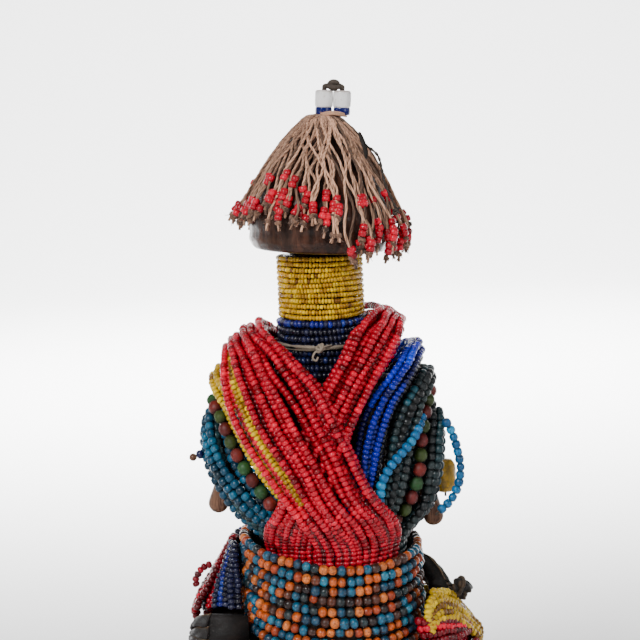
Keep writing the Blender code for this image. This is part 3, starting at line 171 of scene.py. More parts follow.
BIG_SECOND_ROUTE = (
    (-60, 0.0), (-64, 0.17), (-66, 0.28), (-66, 0.363), (-64.5, 0.41), (-61.5, 0.478), (-52, 0.60),
    (-36, 0.68), (-14, 0.71), (0, 0.715),
)
SKY_ROUTE = (
    (-54.5, 0.0), (-63, 0.13), (-65, 0.255), (-63, 0.325), (-57.5, 0.385), (-50, 0.438), (-42, 0.49),
    (-30, 0.56), (-14, 0.62), (0, 0.64),
)
TEAL_OUTER_EDGE = (
    (-27, 0.0), (-28, 0.17), (-29, 0.28), (-27, 0.36), (-23, 0.45), (-17, 0.51), (-9, 0.555), (0, 0.58),
)
TEAL_ARM_EDGE = (
    (-13, 0.0), (-15, 0.12), (-17, 0.21), (-17, 0.28), (-16, 0.335), (-13, 0.385), (-8, 0.435),
    (0, 0.48),
)

# Routes on the hips: degrees round the body and share of the height from the leg top to the belt top
HIP_RED_LEFT_FAR = ((-192, 0.99), (-192, 0.83), (-191, 0.64), (-190, 0.455))
HIP_RED_LEFT_NEAR = ((-184, 0.99), (-177, 0.86), (-170, 0.73), (-164, 0.605))
HIP_BLUE_LEFT_FAR = ((-178, 0.99), (-171, 0.86), (-164, 0.74), (-158, 0.625))
HIP_BLUE_LEFT_NEAR = ((-170, 0.99), (-164, 0.86), (-157, 0.74), (-152, 0.625))
HIP_YELLOW_TOP = ((-24, 0.69), (-11, 0.57), (4, 0.505), (18, 0.54), (32, 0.54), (46, 0.505), (60, 0.45))
HIP_YELLOW_BOTTOM = (
    (-28, 0.58), (-12, 0.51), (4, 0.44), (18, 0.42), (32, 0.41), (46, 0.40), (60, 0.39),
)
HIP_YELLOW_FALL_NEAR = (
    (-44, 0.46), (-37, 0.51), (-28, 0.50), (-20, 0.44), (-13, 0.36), (-8, 0.24), (-8, 0.04),
)
HIP_YELLOW_FALL_FAR = (
    (-43, 0.56), (-35, 0.655), (-22, 0.685), (-5, 0.60), (6, 0.45), (11, 0.25), (11, 0.04),
)
HIP_RED_RIGHT_TOP = ((-46, 0.565), (-38, 0.55), (-26, 0.50), (-16, 0.455), (-8, 0.425))
HIP_RED_RIGHT_BOTTOM = ((-46, 0.395), (-36, 0.395), (-25, 0.395), (-16, 0.395), (-8, 0.395))
STRAP_TOP = (
    (-150, 0.615), (-165, 0.56), (-178, 0.475), (-190, 0.42), (-215, 0.465), (-240, 0.53), (-270, 0.61),
    (-295, 0.68), (-318, 0.74), (-335, 0.77), (-350, 0.725), (-361, 0.685),
)
STRAP_BOTTOM = (
    (-150, 0.375), (-165, 0.375), (-178, 0.375), (-190, 0.375), (-215, 0.38), (-240, 0.39),
    (-270, 0.42), (-295, 0.48), (-318, 0.57), (-335, 0.61), (-350, 0.615), (-361, 0.605),
)
HIP_FAR_LEFT_EDGE = ((-198, 0.99), (-198, 0.82), (-198, 0.64), (-198, 0.46))
HIP_FAR_RIGHT_EDGE = ((-318, 0.99), (-318, 0.92), (-318, 0.85), (-318, 0.78))

# Places of the loose pieces: x, y and height from the drape's top, but from the head's top for the head cord
# and the sliver by it, and from the tie's knot for its tail and stub
LOOP_PLACES = (
    (47.2, -10.5, -42.0), (50.0, -9.5, -48.5), (51.8, -8.5, -55.0), (52.8, -7.5, -62.0),
    (52.0, -7.0, -69.0), (49.0, -7.5, -75.0), (45.0, -9.0, -78.5), (42.0, -11.0, -80.5),
)
AMBER_PLACE = (47.2, 1.5, -67.4)
PEG_PLACE = (-52.3, -3.0, -53.5)
HIP_LOOP_PLACES = (
    (-49.0, -4.0, -98.5), (-52.5, -4.4, -100.0), (-55.2, -4.6, -103.5), (-55.6, -4.6, -106.5),
    (-54.4, -4.4, -109.0),
)
SLIVER_PLACES = ((14.0, -15.0, -5.0), (15.2, -15.6, -8.0), (16.6, -16.6, -12.0), (16.9, -17.4, -15.0))
TIE_TAIL_PLACES = (
    (-0.3, -0.2, -0.4), (-2.2, -0.7, -1.6), (-3.0, -0.9, -3.6), (-1.8, -0.9, -4.7), (-0.9, -0.7, -3.3),
)
TIE_STUB_PLACES = ((1.0, -0.3, 0.2), (2.8, -0.4, 0.9), (4.6, 0.1, 1.0))
HEAD_CORD_PLACES = (
    (16.0, -12.8, -9.5), (21.2, -13.4, -13.5), (23.0, -16.0, -18.5), (24.6, -18.2, -25.0),
    (29.0, -20.8, -34.0),
)

# Bead colours, each a share of the beads and a colour
REDS = (
    (5, (0.56, 0.0004, 0.020)), (4, (0.40, 0.0003, 0.013)), (2, (0.74, 0.002, 0.030)),
    (1, (0.22, 0.0002, 0.006)),
)
DEEP_REDS = ((3, (0.16, 0.0004, 0.006)), (2, (0.085, 0.0003, 0.003)), (1, (0.26, 0.0006, 0.010)))
YELLOWS = (
    (5, (0.60, 0.37, 0.001)), (3, (0.84, 0.56, 0.002)), (2, (0.36, 0.18, 0.001)),
    (1, (0.18, 0.075, 0.001)),
)
NECK_YELLOWS = (
    (6, (0.60, 0.33, 0.001)), (2, (0.80, 0.50, 0.002)), (2, (0.38, 0.18, 0.001)),
    (0.4, (0.18, 0.07, 0.001)),
)
BLUES = (
    (5, (0.004, 0.010, 0.33)), (3, (0.006, 0.022, 0.52)), (2, (0.003, 0.004, 0.09)),
    (1, (0.010, 0.05, 0.68)),
)
NAVIES = ((6, (0.005, 0.005, 0.016)), (3, (0.007, 0.009, 0.038)), (1, (0.010, 0.018, 0.09)))
COBALTS = ((3, (0.005, 0.011, 0.19)), (2, (0.004, 0.007, 0.05)), (1, (0.012, 0.035, 0.25)))
TURQUOISES = (
    (5, (0.003, 0.070, 0.14)), (3, (0.002, 0.035, 0.07)), (2, (0.006, 0.13, 0.24)),
    (1, (0.002, 0.017, 0.03)),
)
SKIES = ((3, (0.004, 0.15, 0.37)), (2, (0.003, 0.085, 0.23)), (1, (0.010, 0.23, 0.46)))
TEALS = (
    (5, (0.008, 0.036, 0.044)), (4, (0.007, 0.018, 0.021)), (2, (0.022, 0.065, 0.072)),
    (1, (0.008, 0.085, 0.12)),
)
SLATES = ((4, (0.009, 0.013, 0.015)), (3, (0.020, 0.034, 0.036)), (1, (0.004, 0.005, 0.006)))
ORANGES = ((5, (0.56, 0.095, 0.010)), (3, (0.70, 0.17, 0.03)), (2, (0.38, 0.045, 0.008)))
BELT_BLUES = ((4, (0.007, 0.11, 0.20)), (3, (0.004, 0.055, 0.11)), (1, (0.015, 0.20, 0.32)))
BELT_DARKS = (
    (4, (0.050, 0.018, 0.012)), (3, (0.009, 0.024, 0.028)), (2, (0.12, 0.03, 0.014)),
    (2, (0.016, 0.009, 0.009)),
)
MAROONS = ((3, (0.10, 0.007, 0.006)), (2, (0.17, 0.014, 0.010)))
OLIVES = ((3, (0.030, 0.055, 0.006)), (2, (0.014, 0.07, 0.016)))
TOP_BLUE, TOP_WHITE = (0.003, 0.006, 0.11), (0.95, 0.94, 0.93)
AMBER_COLOUR, PEG_COLOUR, PEG_END_COLOUR = (0.50, 0.27, 0.018), (0.005, 0.009, 0.06), (0.2, 0.1, 0.06)
CRACK_COLOUR, DUST_COLOUR, STAIN_COLOUR = (0.004, 0.003, 0.002), (0.32, 0.25, 0.2), (0.07, 0.045, 0.03)


# Reading tables and making frames of directions

def mix(first, last, step):
    """Straight blend: first plus the step's share of the difference."""
    return first + (last - first) * step


def unit(vectors):
    """Vectors divided by their own lengths."""
    return vectors / np.maximum(np.linalg.norm(vectors, axis=-1, keepdims=True), 1e-9)


def soft_step(values, low, high):
    """Smooth rise from 0 to 1: three times the square less twice the cube of the clipped share."""
    share = np.clip((values - low) / (high - low), 0.0, 1.0)
    return share * share * (3 - 2 * share)


def read_table(table, places):
    """Columns of a table at many places: cubics whose slopes are those between each row's neighbours."""
    table = np.array(table, float)
    keys, columns = table[:, 0], table[:, 1:]
    last = len(keys) - 1
    before = np.maximum(np.arange(last + 1) - 1, 0)
    after = np.minimum(np.arange(last + 1) + 1, last)
    slopes = (columns[after] - columns[before]) / (keys[after] - keys[before])[:, None]
    places = np.asarray(places, float)
    row = np.clip(np.searchsorted(keys, places) - 1, 0, last - 1)
    span = (keys[row + 1] - keys[row])[..., None]
    step = (places - keys[row])[..., None] / span
    square, cube = step**2, step**3
    return ((2 * cube - 3 * square + 1) * columns[row] + (cube - 2 * square + step) * span * slopes[row]
            + (3 * square - 2 * cube) * columns[row + 1] + (cube - square) * span * slopes[row + 1])


def full_turn(count):
    """Turns in radians, evenly spaced once round."""
    return 2 * math.pi * np.arange(count) / count


def stacked(x, y, z):
    """Points from three coordinates, each spread to the same shape."""
    return np.stack(np.broadcast_arrays(x, y, z), -1)


def ringed(turns, across, forward, height):
    """Points round an upright axis: across times the cosine, forward times the sine, and the height."""
    return stacked(across * np.cos(turns), forward * np.sin(turns), height)


def raised(places, height):
    """Places lifted by a height."""
    return np.array(places) + np.array([0, 0, height])


def signed_power(values, power):
    """Values raised to a power with their signs kept, which squares a circle off for powers below one."""
    return np.sign(values) * np.abs(values) ** power


def through(stations, count):
    """Smooth run of count points through stations that are numbered evenly."""
    stations = np.array(stations, float)
    numbered = np.column_stack([np.arange(len(stations)), stations])
    return read_table(numbered, np.linspace(0, len(stations) - 1, count))


def wave(chance, steps, amount, cycles=(1.3, 3.1, 6.7)):
    """Gentle wander along a run: a sum of three sines with chance phases, the quicker ones smaller."""
    total = np.zeros_like(steps)
    for number, cycle in enumerate(cycles):
        turn = 2 * math.pi * (cycle * steps + chance.random())
        total = total + np.sin(turn) / (number + 1.5)
    return total * amount


# The surfaces that the strands lie on

def drape_points(angles, shares, layers):
    """Trunk surface: an ellipse at each share of the drape's height, from inner to outer by layer."""
    inner, outer = read_table(INNER_DRAPE, shares), read_table(OUTER_DRAPE, shares)
    size = mix(inner, outer, np.asarray(layers)[..., None])
    width, depth, drop = np.moveaxis(size, -1, 0)
    points = ringed(np.radians(angles), width, depth, BELT_TOP + shares * DRAPE_HEIGHT + drop)
    points[..., 0] += read_table(DRAPE_LEAN, shares)[..., 0]
    return points


def hip_points(angles, shares, layers):
    """Hip surface: from an ellipse round the belt, layer 0, to the strands' outline there, layer 1."""
    width, near_depth, far_depth = np.moveaxis(read_table(HIP_OUTLINE, shares), -1, 0)
    turns = np.radians(angles)
    depth = np.where(np.sin(turns) < 0, near_depth, far_depth)
    lean = read_table(HIP_LEAN, shares)[..., 0]
    core_width = BELT_HALF_WIDTH + BELT_BEAD / 2 + HIP_GAP
    core_depth = BELT_HALF_DEPTH + BELT_BEAD / 2 + HIP_GAP
    across = mix(core_width * np.cos(turns), width * np.cos(turns) + lean, layers)
    forward = mix(core_depth * np.sin(turns), depth * np.sin(turns), layers)
    return stacked(across, forward, LEG_TOP + shares * (BELT_TOP - LEG_TOP))


def belt_points(angles, shares, layers):
    """Belt surface: an ellipse whose height dips on the side seen and leans down to the right."""
    turns = np.radians(angles)
    dip = BELT_DIP * np.maximum(0.0, -np.sin(turns)) ** 2
    height = BELT_BOTTOM + shares * (BELT_TOP - BELT_BOTTOM) - dip - BELT_TILT * np.cos(turns)
    return ringed(turns, BELT_HALF_WIDTH + layers, BELT_HALF_DEPTH + layers, height)


def outward_of(surface, angles, shares, layers):
    """Outward directions of a surface: the cross product of its small steps round and up."""
    around = surface(angles + 0.5, shares, layers) - surface(angles - 0.5, shares, layers)
    upward = surface(angles, shares + 0.004, layers) - surface(angles, shares - 0.004, layers)
    return unit(np.cross(around, upward))


def whole_arch(route):
    """A route from under the belt over the shoulder, then its mirror image down the far side."""
    crest = route[-1][0]
    near = [(route[0][0], TUCK_SHARE)] + list(route)
    return near + [(2 * crest - angle, share) for angle, share in reversed(near[:-1])]


def arch_layers(shares, layers, climb):
    """Layer under the belt, on the chest and at the shoulder, with smooth steps between the three."""
    belt_layer, chest_layer, shoulder_layer = layers
    chest = mix(belt_layer, chest_layer, soft_step(shares, 0.0, 0.3))
    return mix(chest, shoulder_layer, soft_step(shares, climb[0], climb[1]))


def tilted(points):
    """Points turned with the head, about the top of the neck and towards the right."""
    turn = math.radians(HEAD_TILT)
    lifted = points - np.array([0, 0, NECK_TOP])
    x = lifted[..., 0] * math.cos(turn) + lifted[..., 2] * math.sin(turn)
    z = -lifted[..., 0] * math.sin(turn) + lifted[..., 2] * math.cos(turn)
    return np.stack([x, lifted[..., 1], z + NECK_TOP], -1)


# Shapes: points, faces and the marks that the finishes read

def shape(points, faces, colour=(1, 1, 1), end=0.0, chance=0.0, skin=0):
    """A shape's points in millimetres, its faces by size, and one colour, end mark and chance a point."""
    points = np.asarray(points, float).reshape(-1, 3)
    count = len(points)
    return {
        "points": points, "faces": [np.asarray(part) for part in faces],
        "colour": np.broadcast_to(np.asarray(colour, float), (count, 3)),
        "end": np.broadcast_to(np.asarray(end, float), (count,)),
        "chance": np.broadcast_to(np.asarray(chance, float), (count,)), "skin": skin,
    }


def grid_faces(rows, columns, copies=1, closed_rows=False, closed_columns=True):
    """Four-sided faces of a grid of points, row by row and column by column, for each copy of the grid."""
    row_count = rows if closed_rows else rows - 1
    column_count = columns if closed_columns else columns - 1
    row, column = np.meshgrid(np.arange(row_count), np.arange(column_count), indexing="ij")
    next_row, next_column = (row + 1) % rows, (column + 1) % columns
    one = np.stack([
        row * columns + column, row * columns + next_column,
        next_row * columns + next_column, next_row * columns + column,
    ], -1).reshape(-1, 4)
    return (one[None] + (np.arange(copies) * rows * columns)[:, None, None]).reshape(-1, 4)


def cap_faces(rows, columns, copies=1):
    """Flat faces that close the first and the last row of each copy of a grid."""
    first = np.arange(columns)[::-1]
    last = np.arange(columns) + (rows - 1) * columns
    both = np.stack([first, last])
    return (both[None] + (np.arange(copies) * rows * columns)[:, None, None]).reshape(-1, columns)


def tubes(lines, radii, references, sides=6, closed=False, **marks):
    """Tubes along many lines: a circle of the radius square to the line at each of its points."""
    lines = np.asarray(lines, float)
    lines = lines[None] if lines.ndim == 2 else lines
    copies, rows, _ = lines.shape
    if closed:
        ahead = unit(np.roll(lines, -1, axis=1) - np.roll(lines, 1, axis=1))
    else:
        ahead = unit(np.gradient(lines, axis=1))
    references = np.broadcast_to(np.asarray(references, float), lines.shape)
    across = unit(np.cross(references, ahead))[:, :, None]
    upward = np.cross(ahead, across[:, :, 0])[:, :, None]
    turns = full_turn(sides)[:, None]
    radii = np.asarray(radii, float)
    while radii.ndim < 3:
        radii = radii[..., None] if radii.ndim else radii.reshape(1, 1, 1)
    points = lines[:, :, None] + radii[..., None] * (across * np.cos(turns) + upward * np.sin(turns))
    faces = [grid_faces(rows, sides, copies, closed_rows=closed)]
    if not closed:
        faces.append(cap_faces(rows, sides, copies))
    return shape(points, faces, **marks)


NECK_PROFILE = ((-1.0, 0.42), (-0.55, 0.92), (0.55, 0.92), (1.0, 0.42))
LARGE_PROFILE = (
    (-1.0, 0.34), (-0.82, 0.66), (-0.45, 0.92), (0.0, 1.0), (0.45, 0.92), (0.82, 0.66), (1.0, 0.34),
)
BALL_PROFILE = (
    (-1.0, 0.2), (-0.85, 0.55), (-0.5, 0.87), (0.0, 1.0), (0.5, 0.87), (0.85, 0.55), (1.0, 0.2),
)
SEED_PROFILE = ((-1.0, 0.66), (-0.45, 0.985), (0.45, 0.985), (1.0, 0.66))
BELT_PROFILE = ((-1.0, 0.34), (-0.8, 0.68), (-0.34, 0.96), (0.34, 0.96), (0.8, 0.68), (1.0, 0.34))
ROUND_PROFILE = ((-1.0, 0.52), (-0.66, 0.88), (0.0, 1.0), (0.66, 0.88), (1.0, 0.52))
BARREL_PROFILE = ((-1.0, 0.74), (-0.8, 0.93), (0.0, 1.0), (0.8, 0.93), (1.0, 0.74))


def bead_solids(centres, ahead, radii, halves, colours, chance, profile=SEED_PROFILE, sides=7, skin=0):
    """Beads: a profile of length and radius turned about each bead's direction, closed at both holes."""
    count = len(centres)
    profile = np.array(profile)
    reference = np.where(np.abs(ahead[:, 2:3]) > 0.85, [[1.0, 0.0, 0.0]], [[0.0, 0.0, 1.0]])
    across = unit(np.cross(reference, ahead))
    upward = np.cross(ahead, across)
    turns = 2 * math.pi * (np.arange(sides) / sides + chance.random((count, 1)))
    ring = across[:, None] * np.cos(turns)[..., None] + upward[:, None] * np.sin(turns)[..., None]
    wobble = 1 + chance.normal(0, 0.018, (count, len(profile), 1, 1))
    points = (centres[:, None, None]
              + ahead[:, None, None] * (profile[:, 0][None, :, None, None] * halves[:, None, None, None])
              + ring[:, None] * (profile[:, 1][None, :, None, None] * radii[:, None, None, None]) * wobble)
    rows = len(profile)
    each = rows * sides
    return shape(
        points, [grid_faces(rows, sides, count), cap_faces(rows, sides, count)],
        colour=np.repeat(colours, each, axis=0),
        # End mark: nearness to the thread holes, which the glass finish darkens as painted shade.
        end=np.tile(np.repeat(np.abs(profile[:, 0]), sides), count),
        chance=np.repeat(chance.random(count), each), skin=skin,
    )


def spaced(line, pitch, closed=False):
    """Middles and directions of beads at equal steps of length along a line of points."""
    line = np.vstack([line, line[:1]]) if closed else line
    run = np.concatenate([[0.0], np.cumsum(np.linalg.norm(np.diff(line, axis=0), axis=1))])
    count = max(1, int(round(run[-1] / pitch)) if closed else int(run[-1] / pitch))
    at = (np.arange(count) + 0.5) * (run[-1] / count if closed else pitch)

    def read(places):
        """Points of the line at lengths along it."""
        return stacked(*(np.interp(places, run, line[:, axis]) for axis in range(3)))

    return read(at), unit(read(at + 0.35 * pitch) - read(at - 0.35 * pitch)), at / run[-1]


def picked(chance, count, palette, run=1.0):
    """Colours drawn from a palette by weight, in short runs, each made a little lighter or darker."""
    weights = np.array([weight for weight, _ in palette], float)
    colours = np.array([colour for _, colour in palette], float)
    drawn = chance.choice(len(weights), size=count, p=weights / weights.sum())
    fresh = chance.random(count) < 1.0 / run
    fresh[:1] = True
    drawn = drawn[np.maximum.accumulate(np.where(fresh, np.arange(count), 0))]
    return colours[drawn] * np.exp(chance.normal(0, 0.13, (count, 1)))


def strung(lines, radius, pitch, palettes, chance, closed=False, vary=0.04, tilt=0.07, run=1.0, **rest):
    """Beads strung along every line in equal steps, with small chances in size, tilt and tone."""
    centres, directions, colours = [], [], []
    for number, line in enumerate(lines):
        own_pitch = pitch * (1 + chance.normal(0, 0.012))
        middle, ahead, along = spaced(line, own_pitch, closed)
        palette = palettes[number % len(palettes)]
        tone = palette(along) if callable(palette) else picked(chance, len(middle), palette, run)
        centres.append(middle)
        directions.append(ahead)
        colours.append(tone * math.exp(chance.normal(0, 0.08)))
    centres, directions, colours = np.vstack(centres), np.vstack(directions), np.vstack(colours)
    count = len(centres)
    directions = unit(directions + chance.normal(0, tilt, (count, 3)))
    centres = centres + chance.normal(0, radius * 0.035, (count, 3))
    radii = radius * (1 + np.clip(chance.normal(0, vary, count), -0.12, 0.1))
    halves = 0.5 * pitch * (1 + np.clip(chance.normal(0, vary, count), -0.12, 0.08))
    return bead_solids(centres, directions, radii, halves, colours, chance, **rest)


def piece(name, shapes, finishes, slot, *nodes, smooth=True):
    """Join shapes into one piece at the origin, with its finishes, and set it in place of its CAD nodes."""
    shapes = shapes if isinstance(shapes, list) else [shapes]
    finishes = finishes if isinstance(finishes, list) else [finishes]
    points = np.vstack([part["points"] for part in shapes])
    corners, totals, skins = [], [], []
    offset = 0
    for part in shapes:
        for faces in part["faces"]:
            corners.append((faces + offset).ravel())
            totals.append(np.full(len(faces), faces.shape[1]))
            skins.append(np.full(len(faces), part["skin"]))
        offset += len(part["points"])
    corners, totals, skins = np.concatenate(corners), np.concatenate(totals), np.concatenate(skins)
    starts = np.concatenate([[0], np.cumsum(totals)[:-1]])
    mesh = bpy.data.meshes.new(name)
    mesh.vertices.add(len(points))
    mesh.vertices.foreach_set("co", (points * MM).astype(np.float32).ravel())
    mesh.loops.add(len(corners))
    mesh.loops.foreach_set("vertex_index", corners.astype(np.int32))
    mesh.polygons.add(len(totals))
    mesh.polygons.foreach_set("loop_start", starts.astype(np.int32))
    mesh.polygons.foreach_set("material_index", skins.astype(np.int32))
    mesh.update(calc_edges=True)
    mesh.polygons.foreach_set("use_smooth", np.full(len(totals), smooth))
    for field, kind, key in (("end", "FLOAT", "value"), ("chance", "FLOAT", "value"),
                             ("colour", "FLOAT_COLOR", "color")):
        mark = mesh.attributes.new("bead_" + field, kind, "POINT")
        values = np.concatenate([part[field] for part in shapes])
        if field == "colour":
            values = np.column_stack([values, np.ones(len(values))])
        mark.data.foreach_set(key, values.astype(np.float32).ravel())
    for finish in finishes:
        mesh.materials.append(finish)
    mesh.update()
    item = bpy.data.objects.new(name, mesh)
    bpy.context.scene.collection.objects.link(item)
    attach(item, "root")
    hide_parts(*nodes)
    return item


# Shader building

def join(target, value):
    """Set an input to a plain value, or link it to another node's value."""
    if isinstance(value, Value):
        target.id_data.links.new(value.output, target)
    else:
        target.default_value = (*value, 1.0) if target.type == "RGBA" else value


class Value:
    """A value in a shader tree. Plus, minus, times, power and the methods below each add one node to it."""

    def __init__(self, output):
        self.output = output

    def node(self, kind, inputs, output=0, **settings):
        """Result of a new node of this kind, with these settings and inputs."""
        node = self.output.id_data.nodes.new("ShaderNode" + kind)
        for label, value in settings.items():
            setattr(node, label, value)
        for label, value in inputs.items():
            join(node.inputs[label], value)
        return Value(node.outputs[output])

    def maths(self, operation, other=0.0, clamp=False):
        """The value and another put through one math operation."""
        return self.node("Math", {0: self, 1: other}, operation=operation, use_clamp=clamp)

    def __add__(self, other):
        return self.maths("ADD", other)

    def __sub__(self, other):
        return self.maths("SUBTRACT", other)

    def __mul__(self, other):
        return self.maths("MULTIPLY", other)

    def __pow__(self, other):
        return self.maths("POWER", other)

    def ranged(self, low, high, to_low=0.0, to_high=1.0):
        """Smooth rise of the value between two limits."""
        inputs = dict(enumerate((self, low, high, to_low, to_high)))
        return self.node("MapRange", inputs, interpolation_type="SMOOTHSTEP")

    def blended(self, first, last):
        """Straight blend of two colours, with the value as the last one's share."""
        return self.node("Mix", {"Factor": self, 6: first, 7: last}, 2, data_type="RGBA")

    def scaled(self, factor):
        """The colour made lighter or darker by a factor."""
        return self.node("VectorMath", {0: self, "Scale": factor}, operation="SCALE")

    def cloud(self, scale, detail=3.0, rough=0.55, stretch=None, distortion=0.0):
        """Noise at this place, of about one patch per 1/scale metres, stretched if asked."""
        place = self.node("Mapping", {"Vector": self, "Scale": stretch}) if stretch else self
        return place.node("TexNoise", {
            "Vector": place, "Scale": scale, "Detail": detail, "Roughness": rough, "Distortion": distortion,
        })


def shader_group(name, recipe, **inputs):
    """A group with named inputs whose Colour, Roughness and Height its recipe works out."""
    tree = bpy.data.node_groups.new(name, "ShaderNodeTree")
    for label, value in inputs.items():
        colour = isinstance(value, tuple)
        made = tree.interface.new_socket(
            label, in_out="INPUT", socket_type="NodeSocketColor" if colour else "NodeSocketFloat")
        made.default_value = (*value, 1.0) if colour else value
    for label, kind in (("Colour", "Color"), ("Roughness", "Float"), ("Height", "Float")):
        tree.interface.new_socket(label, in_out="OUTPUT", socket_type="NodeSocket" + kind)
    entry, leave = tree.nodes.new("NodeGroupInput"), tree.nodes.new("NodeGroupOutput")
    place = Value(tree.nodes.new("ShaderNodeTexCoord").outputs["Object"])
    given = {label: Value(entry.outputs[label]) for label in inputs}
    for target, value in zip(leave.inputs, recipe(given, place)):
        join(target, value)
    return tree


def bead_glass(given, place):
    """Old bead glass: cloudy tone, dark specks, soiling in patches, and painted shade towards the thread
    holes.
    """
    patches, fine, broad = place.cloud(650.0), place.cloud(2600.0, 2.0), place.cloud(70.0, 2.0)
    specks = fine.ranged(0.53, 0.66) * given["Speck"]
    # Painted shade: the End mark darkens each bead towards its thread holes, where it meets its neighbours;
    # on the white beads the End mark holds their real stains instead. The patches add real soiling, and the
    # specks take the same colour.
    soiling_and_shade_mask = given["End"] ** 3.0 * broad.ranged(0.3, 0.62) + patches.ranged(0.58, 0.74) * 0.35
    soiling_and_shade_mask = soiling_and_shade_mask.maths("MULTIPLY", given["Grime"], clamp=True)
    colour = given["Colour"].scaled((patches - 0.5) * given["Mottle"] * 3.0 + 1.0)
    colour = soiling_and_shade_mask.blended(specks.blended(colour, given["Grime Colour"]), given["Grime Colour"])
    worn = (given["Chance"] + patches * 0.6).ranged(0.7, 1.3)
    rough = (given["Polish"] + worn * given["Wear"]).maths("ADD", soiling_and_shade_mask * 0.35, clamp=True)
    return colour, rough, fine * 0.35 - specks * 0.5 + patches * 0.3


def carved_wood(given, place):
    """Carved wood: fine upright grain, small cracks, and skin worn lighter where the End mark is high."""
    grain = place.cloud(900.0, 4.0, 0.6, (1.0, 1.0, 0.09), 0.4)
    bands = place.cloud(160.0, 3.0, 0.55, (1.0, 1.0, 0.22), 1.2)
    stains, dust = place.cloud(55.0, 4.0, 0.6), place.cloud(420.0)
    lines = grain.ranged(0.5, 0.7) * given["Grain"]
    rubbed = (given["End"] + (stains - 0.5) * 0.8).ranged(0.25, 0.85)
    crack = (bands - 0.5).maths("ABSOLUTE").ranged(0.0, 0.008, 1.0, 0.0) * stains.ranged(0.5, 0.62)
    body = bands.ranged(0.35, 0.68).blended(given["Dark"], given["Light"])
    body = (lines * 0.65).blended(body, given["Dark"])
    worn = grain.ranged(0.4, 0.66).blended(given["Worn"], given["Light"])
    colour = crack.blended(rubbed.blended(body, worn), CRACK_COLOUR)
    colour = (dust.ranged(0.62, 0.8) * 0.16).blended(colour, DUST_COLOUR)
    rough = (given["Polish"] + rubbed * 0.25).maths("ADD", stains.ranged(0.4, 0.7) * 0.22, clamp=True)
    return colour, rough, stains * 0.6 - lines * 0.4 - crack * 1.2


def plied_fibre(given, place):
    """Plied fibre: painted shade in the grooves between plies, hairy light flecks, and dust by chance."""
    hairs, patches = place.cloud(2400.0, 3.0, 0.65, (1.0, 1.0, 0.3)), place.cloud(130.0)
    colour = given["Colour"].scaled((hairs * 0.9 + 0.5) * (given["Chance"] * 0.95 + 0.15))
    # Painted shade: the End mark, deepest in the grooves between plies, blends towards the Shade colour.
    colour = (given["End"].ranged(0.05, 0.6) * 0.72).blended(colour, given["Shade"])
    colour = patches.ranged(0.56, 0.78, 0.0, 0.5).blended(colour, given["Shade"])
    return colour, hairs.ranged(0.2, 0.8, 0.75, 0.98), hairs


def old_leather(given, place):
    """Old blackened leather: fine grain, soft creases, and a golden edge where the End mark is high."""
    pores = place.node("TexVoronoi", {"Vector": place, "Scale": 1500.0})
    folds, broad = place.cloud(240.0, 4.0, 0.6, (0.5, 0.5, 1.6), 0.8), place.cloud(60.0)
    colour = given["Colour"].scaled(folds.ranged(0.3, 0.75, 0.55, 1.9))
    colour = (given["End"] * folds.ranged(0.3, 0.6) * 0.9).blended(colour, given["Rubbed"])
    colour = broad.ranged(0.55, 0.75, 0.0, 0.35).blended(colour, STAIN_COLOUR)
    return colour, folds.ranged(0.3, 0.7, 0.5, 0.78), folds + pores * 0.3


def finish(name, group, values, coat=0.0, coat_rough=0.1, sheen=0.0, bump=0.4, depth=0.0001, shine=0.38):
    """A material whose colour, roughness and relief come from a group; a name as value reads that mark."""
    material = bpy.data.materials.new(name)
    material.use_nodes = True
    nodes = material.node_tree.nodes
    look = nodes.new("ShaderNodeGroup")
    look.node_tree = group
    for label, value in values.items():
        if isinstance(value, str):
            mark = nodes.new("ShaderNodeAttribute")
            mark.attribute_name = value
            value = Value(mark.outputs["Color" if value == "bead_colour" else "Fac"])
        join(look.inputs[label], value)
    colour, rough, height = (Value(output) for output in look.outputs)
    for label, value in {
            "Base Color": colour, "Roughness": rough, "Specular IOR Level": shine, "Coat Weight": coat,
            "Coat Roughness": coat_rough, "Sheen Weight": sheen, "Sheen Roughness": 0.5,
            "Normal": height.node("Bump", {"Strength": bump, "Distance": depth, "Height": height}),
    }.items():
        join(nodes["Principled BSDF"].inputs[label], value)
    return material


